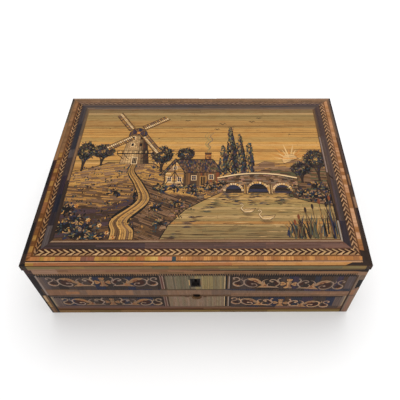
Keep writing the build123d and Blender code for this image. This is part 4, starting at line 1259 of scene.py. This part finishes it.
def scroll(sheet, middle, foot, rise=1.0, wear="clear", tilt=0.0):
    """The ornament at a place in a panel, both halves alike. The tilt is how far it rises to the right."""
    spread = 0.7 + 0.3 * rise
    line_tints = scroll_line_tints[wear]
    leaf_tints = [mixed(tint, FAWN, 0.5 if wear == "faded" else 0.0) for tint in scroll_leaf]
    # How high the tops of the ornament's parts lie, from the dark hearts up to the balls
    heart_top, shade_top, leaf_top, line_top, vein_top, ball_top = 0.345, 0.352, 0.368, 0.378, 0.382, 0.384
    for side in (-1, 1):

        def placed(points):
            moved = [(side * u * spread, v * rise) for u, v in points]
            moved = [(middle + u, foot + v + u * tilt) for u, v in moved]
            return moved if area_of(moved) > 0 else moved[::-1]

        for outline in scroll_hearts:
            sheet.tile(placed(outline), pick(scroll_heart), heart_top, 90)
        for outline in scroll_leaves:
            outline = placed(outline)
            sheet.tile(grown(outline, 0.5), BLACK, shade_top)
            sheet.tile(outline, pick(leaf_tints), leaf_top, 60)
            centre = [sum(p[i] for p in outline) / len(outline) for i in (0, 1)]
            vein = [tuple(c + (a - c) * 0.4 for a, c in zip(p, centre)) for p in outline]
            sheet.tile(vein, pick(scroll_vein), vein_top, 60)
        for points, widths in scroll_lines:
            line = placed(points)
            turned = abs(line[0][0] - middle - side * points[0][0] * spread) >= 0.001
            widths = [w * 1.15 for w in (widths[::-1] if turned else widths)]
            sheet.ribbon(line, widths, pick(line_tints), line_top)
        for u, v, radius in scroll_balls:
            ball = placed([(u - 0.01, v - 0.01), (u + 0.01, v - 0.01), (u, v)])[0]
            sheet.tile(ellipse(ball, radius, radius, 12), pick(line_tints), ball_top)


def scroll_panel(node, body, middle, foot, rise, wear="clear", tilt=0.0):
    """A dark panel on the front with the scrolls, and a comb of dark straw ends along its top."""
    sheet = front_sheet(f"{node}_inlay", node, glue=BLACK)
    x, _, z = span(node)
    scroll_bed(sheet, x, z, bed_top)
    # The ground is faded at the panel's outer end
    faded = (x[1] - 7, x[1]) if middle > 0 else (x[0], x[0] + 7)
    sheet.ladder(faded, z, (rgb(98, 80, 72), rgb(86, 72, 70)), (1.6, 2.0), (2, 5), bed_top + 0.003)
    sheet.run(x, (z[1] - 1.3, z[1]), (BLACK, DARK), high=bed_top + 0.006)
    if node == "drawer_left_scroll_panel":
        sheet.run(x, (z[0], z[0] + 2.5), (rgb(98, 70, 60), rgb(92, 70, 66)), (16, 50), bed_top + 0.011)
    sheet.comb(x, z[1], (2.2, 3.4))
    scroll(sheet, middle, foot, rise, wear, tilt)
    sheet.build(dyed_straw, body, "straw_panel", node)


upper_scroll = (82.7, panel_z[0] - 0.6, 0.98, "dull", -0.072)
drawer_scroll = (79.3, drawer_panel_z[0] - 1.0, 0.8, "ruddy", -0.09)
scroll_panel("upper_left_scroll_panel", "case", -85.5, panel_z[0] + 4.6, 0.89, "faded")
scroll_panel("upper_right_scroll_panel", "case", *upper_scroll)
scroll_panel("drawer_left_scroll_panel", "drawer", -84.0, drawer_panel_z[0] + 2.1, 0.79, "faded", -0.015)
scroll_panel("drawer_right_scroll_panel", "drawer", *drawer_scroll)

# The front of the case: the band with its dotted line, the rail, the stiles and the bottom edge
dots_top = skin_z[0] + 3.0
band_middle = (dots_top + rim) / 2
band_light = (rgb(138, 98, 68), rgb(130, 92, 62), rgb(146, 104, 74), rgb(134, 94, 70))
band_deep = (rgb(134, 98, 66), rgb(124, 92, 62), rgb(142, 104, 72))


def band_rows(sheet, u):
    """The brown band under the rim: two straws, with a dark line above and the dotted line below."""
    sheet.run(u, (rim - 0.4, rim), (DARK, UMBER), high=SUNK)
    sheet.run(u, (band_middle, rim - 0.4), band_light, (14, 55))
    sheet.run(u, (dots_top + 0.1, band_middle - 0.06), band_deep, (14, 55))
    sheet.dots(u, (skin_z[0] + 0.1, dots_top))


def rail_rows(sheet, u):
    """The rail: fine straws laid upright in patches of one colour, between two dark lines."""
    sheet.ladder(u, (rail_z[0] + 0.7, rail_z[1] - 1.2), rail_tints, (1.5, 2.0), (12, 44))
    sheet.run(u, (rail_z[1] - 1.2, rail_z[1]), (BROWN, UMBER), high=LINE)
    sheet.run(u, (rail_z[0], rail_z[0] + 0.7), (rgb(112, 82, 60), BROWN), high=SUNK)


rail_tints = (rgb(132, 102, 80), rgb(124, 94, 74), rgb(138, 102, 76), rgb(116, 92, 76), rgb(128, 92, 68))
foot_tints = (rgb(134, 108, 58), rgb(118, 92, 48), rgb(132, 100, 60), rgb(112, 86, 36))

band = front_sheet("case_band", "front_band_straw")
left_end, right_end, dark_end = *skin_x, skin_x[0] + 6.5
band_rows(band, skin_x)
# Faded stretches at both ends, a painted shadow along the top where the warped lid leaves a gap, and the
# dark left end
band.run((dark_end, -120.5), (rim - 7.2, rim - 0.4), (rgb(150, 114, 90), rgb(142, 108, 84)), high=OVER)
band.run((141, right_end), (skin_z[0], rim - 3), (rgb(146, 112, 86),), high=OVER)
# Painted shadow in the gap under the lid: how far the black wedge drops below the rim along the band
gap_shadow_drop = ((-40, 0), (0, 1.8), (60, 2.9), (138, 3.6), (144, 4.6), (right_end, 4.8), (right_end, 0))
band.tile([(u, rim - drop) for u, drop in gap_shadow_drop], rgb(26, 8, 0), HIGHER)
dark_part = rect((left_end, dark_end), (skin_z[0], rim))
band.strips(dark_part, 2.4, 0, (BLACK, rgb(44, 24, 30)), UPPER, lengths=(3, 7))
band.build(straw, "case", "straw_brown", "front_band_straw")

# The rail has lost straw over the notch and is faded in two stretches. The dark panels reach down into it.
worn_patch = [(-6.2, 38), (1.8, 38), (0.8, 40.2), (-2, 40.8), (-5.2, 40.2)]
rail = front_sheet("case_rail", "front_rail_straw", losses=[worn_patch], glue=rgb(50, 24, 10))
rail_rows(rail, rail_x)
rail_foot, rail_top, rail_end, spill_top = *rail_z, rail_x[1], 0.365
faded = (rgb(142, 106, 78), rgb(132, 98, 74))
rail.ladder((31, rail_end), (rail_foot + 0.2, rail_foot + 4.6), faded, (1.5, 2.0), (14, 44), 0.355)
faded = (rgb(150, 104, 70), rgb(142, 98, 68))
rail.ladder((-124, -111), (rail_foot + 2.4, rail_top - 4.2), faded, (1.5, 2.0), high=OVER)
spill = [(24, 49.4), (32, 47.8), (75, 46.7), (rail_end, 45.2), (rail_end, rail_top), (24, rail_top)]
scroll_bed(rail, (24, rail_end), rail_z, spill_top, spill)
spill = [(-112, 50.0), (-75, 49.0), (-35, 48.8), (-35, rail_top), (-112, rail_top)]
scroll_bed(rail, (-112, -35), rail_z, spill_top, spill)
rail.run((-35, 24), (rail_top - 2.2, rail_top), (rgb(82, 64, 46), BROWN), high=spill_top)
scroll(rail, *upper_scroll)
rail.build(straw, "case", "straw_brown", "front_rail_straw")


def foot_rows(sheet, u):
    """The bottom edge: a thin dark straw over a broad faded one."""
    sheet.run(u, (foot_z[1] - 0.9, foot_z[1]), (rgb(62, 32, 6), rgb(80, 50, 18)), (16, 70), LINE)
    sheet.run(u, (foot_z[0], foot_z[1] - 1.0), foot_tints, (16, 70))


foot_edge = front_sheet("case_foot_edge", "bottom_edge_straw")
foot_rows(foot_edge, foot_x)
foot_edge.build(straw, "case", "straw_brown", "bottom_edge_straw")

# The stiles, as upright straws: how far out each begins and ends, its heights and its tint
stile_straws = {
    "left": [
        (141.5, 143.2, 0, 39, BLACK), (141.5, 143.2, 39, 77, rgb(146, 128, 118)),
        (143.3, 145.2, 0, 39, BROWN), (145.3, 147.6, 25, 38, rgb(184, 152, 116)),
        (145.3, 147.6, 13, 24, rgb(160, 124, 78)), (145.3, 147.6, 0, 12, FAWN), (147.7, 149.4, 0, 39, DARK),
        (143.3, 149.4, 39, 77, rgb(24, 12, 16)), (143.3, 145.2, 41, 52, UMBER),
    ],
    "right": [
        (141.5, 143.0, 0, 38, rgb(60, 36, 24)), (141.5, 143.0, 38, 77, UMBER),
        (143.1, 144.9, 0, 77, rgb(128, 106, 88)), (145.0, 149.4, 67.5, 77, rgb(116, 96, 80)),
        (145.0, 146.6, 0, 51, ROSE), (146.7, 149.4, 0, 53, rgb(132, 104, 84)),
        (143.1, 146.4, 38.4, 48, rgb(150, 106, 76)), (143.1, 149.4, 36.6, 37.8, DARK),
    ],
}
for side, sign in (("left", -1), ("right", 1)):
    u = sorted((sign * rail_x[1], sign * stile_x[1]))
    axes = ((1, 0, 0), (0, 0, 1), (0, -1, 0))
    stile = Marquetry(f"case_{side}_stile", (0, skin_y[1], 0), *axes, rect(u, stile_z), glue=BLACK)
    for inner, outer, low, high, tint in stile_straws[side]:
        outline = rect(sorted((sign * inner, sign * outer)), (low, high))
        stile.tile(outline, varied(tint), FLUSH, 90, low=ON_GLUE)
    stile.build(straw, "case", "straw_brown", "stile_straw")

# The two tablets, each between its border lines, with the keyhole and the round foot of the notch
keyhole = rect((-5.5, 1.5), (56.5, 69.5))
notch_u, notch_v, notch_radius, notch_steps = -2.0, 34.3, 4.0, 12
turns = [math.pi * (1 + i / notch_steps) for i in range(notch_steps + 1)]
notch = [(notch_u + notch_radius * math.cos(t), notch_v + notch_radius * math.sin(t)) for t in turns]
notch += [(notch[-1][0], drawer_z[1] + 1), (notch[0][0], drawer_z[1] + 1)]
tablet_green = (rgb(106, 98, 76), rgb(114, 104, 80), rgb(98, 88, 70), rgb(120, 104, 82))
tablet_warm = (rgb(130, 114, 84), rgb(138, 120, 80), rgb(122, 108, 80), rgb(146, 124, 84))
tablet_grey = (rgb(138, 114, 92), rgb(128, 108, 86), rgb(144, 118, 98), rgb(138, 120, 94))


def tablet(node, body, fills, hole, rim_width, rim_tint):
    """Fine upright straws between thin light and dark lines, round a hole with a dark rim."""
    sheet = front_sheet(f"{node}_inlay", node, holes=[hole])
    x, _, z = span(node)
    for start, end, tints in fills:
        sheet.strips(rect((start, end), z), 1.6, 90, tints, PROUD, (0.03, 0.16), low=ON_GLUE)
    lines = (
        (-35, -33.8, DARK), (-33.7, -32.8, rgb(128, 102, 90)), (-32.7, -31.6, rgb(96, 56, 46)),
        (-31.5, -30.5, rgb(146, 120, 104)), (-30.4, -29.1, UMBER), (24.4, 25, CREAM), (25.1, 26.9, BLACK),
        (27, 27.9, BROWN), (28, 29, rgb(160, 140, 126)), (29.1, 31, DARK),
    )
    for start, end, tint in lines:
        sheet.tile(rect((start, end), z), varied(tint), 0.345, 90, low=ON_GLUE)
    sheet.tile(grown(hole, rim_width), rim_tint, OVER, 90)
    sheet.run(x, (z[0], z[0] + 0.6), (UMBER, DARK), high=PROUD)
    if hole == notch:
        # Two dark spots beside the notch at the drawer's top edge: painted shade of the gap above the drawer
        for u, half_u in ((-11, 2.4), (6.2, 1.7)):
            sheet.tile(ellipse((u, z[1] - 0.4), half_u, 1.1, 10), rgb(70, 42, 26), HIGHER)
    if hole == keyhole:
        # A pale straw on each side of the keyhole
        sheet.comb(x, z[1], (0.8, 1.6))
        sheet.tile(rect((-7.9, -7.1), (58, 68)), PALE, HIGHER, 90)
        sheet.tile(rect((2.8, 3.4), (58, 68)), SAND, HIGHER, 90)
    sheet.build(straw, body, "straw_tablet", node)


upper_fills = ((-29, -2, tablet_green), (-2, 24.4, tablet_warm))
tablet("keyhole_tablet_straw", "case", upper_fills, keyhole, 1.2, BLACK)
tablet("drawer_tablet_straw", "drawer", ((-29, 24.4, tablet_grey),), notch, 0.8, rgb(92, 58, 34))

# The border of the drawer front, round its panels
panels = (span("drawer_left_scroll_panel")[0][0], span("drawer_right_scroll_panel")[0][1])
border = front_sheet("drawer_border", "drawer_border_straw", holes=[rect(panels, drawer_panel_z), notch])
left_end, right_end = drawer_x
# Each row under the panels: where it begins and ends, its heights over the drawer's foot, and its tints
rows = (
    (left_end, 4, 0, 2.0, (rgb(60, 28, 2), rgb(84, 48, 10))),
    (4, right_end, 0, 2.0, (rgb(104, 70, 36), rgb(86, 52, 22))),
    (left_end, 4, 2.05, 4.2, (rgb(112, 72, 42), rgb(98, 64, 34))),
    (4, right_end, 2.05, 4.2, (rgb(126, 90, 62), rgb(116, 80, 52))),
    (left_end, right_end, 4.25, 7.1, (rgb(112, 82, 72), rgb(104, 76, 66), rgb(112, 84, 66))),
)
for start, end, low, high, tints in rows:
    border.run((start, end), (drawer_z[0] + low, drawer_z[0] + high), tints)
top_parts = (
    (left_end, -36, (rgb(88, 68, 56), rgb(78, 62, 54))), (-36, 31, (rgb(104, 76, 52), rgb(96, 70, 48))),
    (31, right_end, (FAWN, rgb(128, 96, 72), rgb(116, 88, 66))),
)
for start, end, tints in top_parts:
    border.ladder((start, end), (drawer_panel_z[1], drawer_z[1]), tints, (1.0, 2.0), (6, 30))
for outer, inner in zip(drawer_x, panels):
    middle = outer * 0.6 + inner * 0.4
    for u, tint in (((outer, middle), rgb(156, 134, 104)), ((middle, inner), rgb(112, 94, 82))):
        border.tile(rect(sorted(u), drawer_panel_z), tint, FLUSH, 90, low=ON_GLUE)
# The dark right panel reaches down into the border
panel_foot = drawer_panel_z[0]
spill = [(31, 12.8), (75, 10.6), (118, 9.0), (138, 8.9), (138, panel_foot), (31, panel_foot)]
scroll_bed(border, (31, 138), drawer_z, 0.342, spill)
scroll(border, *drawer_scroll)
border.build(straw, "drawer", "straw_brown", "drawer_border_straw")


# The sides and the back of the case. The groove along the back, where the open lid comes to lie, cuts the
# sides' corners off at this slope.
hinge_y = sum(span("hinge_pins")[1]) / 2
groove_slope = math.tan(math.radians(50))


def case_side(side, name, node):
    """One side: the front's tiers carried round, with a tall row and a low row of scrolls."""
    x, y, z = span(node)
    plane, half = (x[0] if side > 0 else x[1]), y[1]
    groove_end = z[1] - (half - hinge_y) * groove_slope
    limits = [(-half, z[0]), (half, z[0]), (half, groove_end), (hinge_y, z[1]), (-half, z[1])]
    limits = limits if side > 0 else [(-u, v) for u, v in reversed(limits)]
    sheet = Marquetry(name, (plane, 0, 0), (0, side, 0), (0, 0, 1), (side, 0, 0), limits)
    full = (-half, half)
    band_rows(sheet, full)
    rail_rows(sheet, full)
    foot_rows(sheet, full)
    for v, rise in ((panel_z, 1.0), ((foot_z[1] + 4.2, rail_z[0] - 3.2), 0.92)):
        bed = rect((-half + 5, half - 5), v)
        sheet.strips(bed, 1.8, 90, scroll_ground, bed_top, (0.03, 0.1), low=ON_GLUE)
        for middle in (-52, 52):
            scroll(sheet, middle, v[0], rise)
        sheet.tile(ellipse((0, (v[0] + v[1]) / 2), 0.9, 4, 12), pick(scroll_leaf), OVER, 90)
        for end in (-1, 1):
            u = sorted((end * half, end * (half - 4.9)))
            sheet.tile(rect(u, v), pick((FAWN, GREYED, SAND)), FLUSH, 90, low=ON_GLUE)
    sheet.run(full, (foot_z[1], foot_z[1] + 4.1), (rgb(106, 78, 64), BROWN, PLUM))
    sheet.run(full, (rail_z[0] - 3.1, rail_z[0]), (UMBER, BROWN, PLUM))
    sheet.build(straw, "case", "straw_side", node)


case_side(-1, "case_left_side", "left_side_straw")
case_side(1, "case_right_side", "right_side_straw")

back_x, back_y, back_z = span("back_straw")
back_top, back_band = rim - 3.0, 6.5
axes = ((-1, 0, 0), (0, 0, 1), (0, 1, 0))
back = Marquetry("case_back", (0, back_y[0], 0), *axes, rect(back_x, (back_z[0], back_top)))
back.run(back_x, (back_z[0], back_band), foot_tints)
back.run(back_x, (back_top - back_band, back_top), band_deep)
back_field = rect(back_x, (back_band + 0.1, back_top - back_band - 0.1))
back.strips(back_field, 3.6, 90, (HONEY, OLIVE, SAND, GREYED, FAWN), PROUD, low=ON_GLUE)
back.build(straw, "case", "straw_side", "back_straw")


def wood_material(name, light, dark, ring_scale, hole=None, roughness=0.62):
    """Sawn wood with growth rings, pores and worn patches, and painted shade that darkens it towards a hole
    if one is given (at the keyhole also its sooty blackening).
    """
    paint = Painter(name)
    place = paint.place()
    drawn = paint.scaled(place, (6, 60, 60))
    bend = paint.noise(drawn, 1.0, 2)
    rings = paint.node(
        "ShaderNodeTexWave",
        {"Vector": drawn, "Scale": ring_scale, "Distortion": 5.0, "Detail": 3.0, "Detail Scale": 1.2},
        wave_type="BANDS",
        bands_direction="DIAGONAL",
    )
    pores = paint.noise(paint.scaled(place, (220, 2600, 2600)), 1.0, 2)
    patch = paint.noise(place, 26, 3)
    ring_shade = paint.ranged(rings, 0.0, 1.0, 0.25, 0.85)
    shade = paint.math("MULTIPLY", ring_shade, paint.ranged(bend, 0.3, 0.7, 0.6, 1.2))
    base = paint.blend(shade, light, dark)
    base = paint.stain(base, pores, 0.55, 0.7, 0.45, dark)
    base = paint.stain(base, patch, 0.5, 0.72, 0.35, rgb(74, 52, 36))
    if hole:
        middle, stretch, reach = hole
        away = paint.node("ShaderNodeVectorMath", {0: place, 1: middle}, operation="SUBTRACT")
        away = paint.scaled(away, stretch)
        away = paint.node("ShaderNodeVectorMath", {0: away}, out=1, operation="LENGTH")
        # Painted shade in the hole: near black at its middle, fading out by the reach
        base = paint.blend(paint.ranged(away, reach / 2, reach, 1.0, 0.0), base, rgb(20, 15, 12))
    height = paint.math("ADD", paint.math("MULTIPLY", pores, 0.5), paint.math("MULTIPLY", rings, 0.3))
    return paint.finish(
        Base_Color=base,
        Roughness=paint.ranged(bend, 0.3, 0.7, roughness - 0.08, roughness + 0.08),
        Normal=paint.bump(height, 0.0002, 0.5),
    )


def paper_material(name, tint, stain):
    """Old laid paper, with faint lines, a mottled tone and brown spots."""
    paint = Painter(name)
    place = paint.place()
    pulp = paint.noise(place, 900, 3)
    laid = paint.noise(paint.scaled(place, (60, 1400, 60)), 1.0, 1)
    mottle = paint.noise(place, 30, 3)
    spots = paint.noise(place, 240, 2)
    base = paint.stain(tint, mottle, 0.35, 0.7, 0.5, stain)
    base = paint.stain(base, laid, 0.45, 0.6, 0.18, stain)
    base = paint.stain(base, spots, 0.68, 0.74, 0.7, rgb(104, 66, 42))
    relief = paint.bump(pulp, 0.00015, 0.6)
    return paint.finish(Base_Color=base, Roughness=0.9, Normal=relief, Specular_IOR_Level=0.2)


def metal_material(name, clean, dull, roughness, rust=None):
    """Old metal, rubbed bright in places and dull or rusty in others."""
    paint = Painter(name)
    place = paint.place()
    cloud = paint.noise(place, 160, 4)
    grain = paint.noise(place, 1500, 2)
    scratch = paint.noise(paint.scaled(place, (90, 2600, 2600)), 1.0, 1)
    tarnish = paint.ranged(cloud, 0.38, 0.62)
    base = paint.blend(tarnish, clean, dull)
    metal = 1.0
    if rust:
        share = paint.ranged(cloud, 0.56, 0.64)
        base = paint.blend(share, base, rust)
        metal = paint.math("SUBTRACT", 1.0, share)
    rough = paint.ranged(tarnish, 0, 1, roughness, roughness + 0.25)
    rough = paint.math("ADD", rough, paint.math("MULTIPLY", scratch, 0.1))
    relief = paint.bump(grain, 0.00005, 0.5)
    return paint.finish(Base_Color=base, Metallic=metal, Roughness=rough, Normal=relief)


# Where the wood is painted dark round a hole: at the keyhole its age-blackening together with painted shade
# inside the recess, at the notch painted shade under the rail. For each: the middle of the hole, how
# distances count along each axis, and the dark's reach
keyhole_soot_and_shade = ((-0.002, -0.1067, 0.063), (1, 0.5, 0.7), 0.012)
notch_shade = ((-0.002, -0.1056, 0.0315), (0.6, 1, 0.8), 0.0052)
finishes = {
    "carcase_wood": wood_material("carcase_wood", rgb(172, 132, 88), rgb(128, 90, 56), 1.1, keyhole_soot_and_shade),
    "drawer_wood": wood_material("drawer_wood", rgb(182, 144, 100), rgb(142, 104, 66), 1.4, notch_shade),
    "lining_paper": paper_material("lining_paper", rgb(176, 122, 112), rgb(150, 108, 90)),
    "hinge_brass": metal_material("hinge_brass", rgb(196, 158, 92), rgb(120, 92, 54), 0.3),
    "lock_iron": metal_material("lock_iron", rgb(66, 62, 60), rgb(34, 30, 30), 0.5, rgb(50, 30, 22)),
    "screw_steel": metal_material(
        "screw_steel", rgb(140, 136, 130), rgb(84, 78, 74), 0.36, rgb(96, 60, 42),
    ),
}
slots = {row["node"]: row["material_slot"] for row in frame["record"]["subparts"]}
for name, piece in frame["nodes"].items():
    if slots[name] not in finishes:
        continue
    piece.data.materials.clear()
    piece.data.materials.append(finishes[slots[name]])
    if slots[name] in ("carcase_wood", "drawer_wood"):
        soften = piece.modifiers.new("worn_edges", "BEVEL")
        soften.width, soften.segments, soften.limit_method = 0.25 * MM, 2, "ANGLE"


# The stage: a pale floor that the camera sees as white, soft lamps and the photograph's camera
def stage_floor(reach, shade, lift):
    """A wide pale floor. To the camera it glows, and the glow grows with the distance from the box."""
    mesh = bpy.data.meshes.new("floor")
    mesh.from_pydata([(u, v, 0) for u, v in rect((-reach, reach), (-reach, reach))], [], [(0, 1, 2, 3)])
    floor = added("floor", mesh)
    paint = Painter("pale_floor")
    seen = paint.seen()
    diffuse = paint.node("ShaderNodeBsdfDiffuse", {"Color": (shade, shade, shade)})
    away = paint.node("ShaderNodeVectorMath", {0: paint.place()}, out=1, operation="LENGTH")
    glow = paint.node("ShaderNodeEmission", {"Color": (1, 1, 1), "Strength": paint.ranged(away, *lift)})
    none = paint.node("ShaderNodeEmission", {"Color": (0, 0, 0), "Strength": 0.0})
    glow = paint.node("ShaderNodeMixShader", {0: seen, 1: none, 2: glow})
    both = paint.node("ShaderNodeAddShader", {0: diffuse, 1: glow})
    paint.node("ShaderNodeOutputMaterial", {"Surface": both})
    mesh.materials.append(paint.block)


def soft_world(strength):
    """An even white surround: full white as the camera and reflections see it, softer as light."""
    paint = Painter("studio", bpy.data.worlds)
    level = paint.node("ShaderNodeMix", {0: paint.seen(), 2: strength, 3: 1.0}, data_type="FLOAT")
    surround = paint.node("ShaderNodeBackground", {"Color": (1, 1, 1), "Strength": level})
    paint.node("ShaderNodeOutputWorld", {"Surface": surround})
    bpy.context.scene.world = paint.block


def lamp(name, place, size, power, aim=(0, 0, 0.05)):
    light = bpy.data.lights.new(name, "AREA")
    light.shape, light.size, light.energy = "DISK", size, power
    piece = added(name, light)
    piece.location = place
    piece.rotation_mode = "QUATERNION"
    piece.rotation_quaternion = (Vector(aim) - Vector(place)).to_track_quat("-Z", "Y")


def photo_camera():
    """The camera as fitted to the photograph: metres, degrees and a small sideways shift."""
    place, pitch, yaw, roll = (0.0175, -0.2965, 0.4145), 51.33, 0.53, 0.31
    pitch, yaw, roll = (math.radians(a) for a in (pitch, yaw, roll))
    ahead = Vector((math.sin(yaw) * math.cos(pitch), math.cos(yaw) * math.cos(pitch), -math.sin(pitch)))
    right = Vector((math.cos(yaw), -math.sin(yaw), 0))
    up = right.cross(ahead)
    right, up = math.cos(roll) * right + math.sin(roll) * up, math.cos(roll) * up - math.sin(roll) * right
    data = bpy.data.cameras.new("camera")
    data.sensor_width, data.lens, data.shift_x = 36.0, 38.86, -0.0484
    data.clip_start, data.clip_end = 0.01, 50
    camera = added("camera", data)
    camera.matrix_world = Matrix.Translation(place) @ Matrix((right, up, -ahead)).transposed().to_4x4()
    bpy.context.scene.camera = camera


# The floor's half width in metres, its shade, and the distances and strengths between which its glow grows
stage_floor(6.0, 0.82, (0.2, 1.5, 0.16, 0.65))
soft_world(0.62)
lamp("overhead", (0.1, 0.3, 1.5), 1.3, 13)
lamp("front_fill", (0.3, -1.3, 0.9), 1.0, 3.5)
photo_camera()
bpy.context.scene.view_settings.view_transform = "Standard"
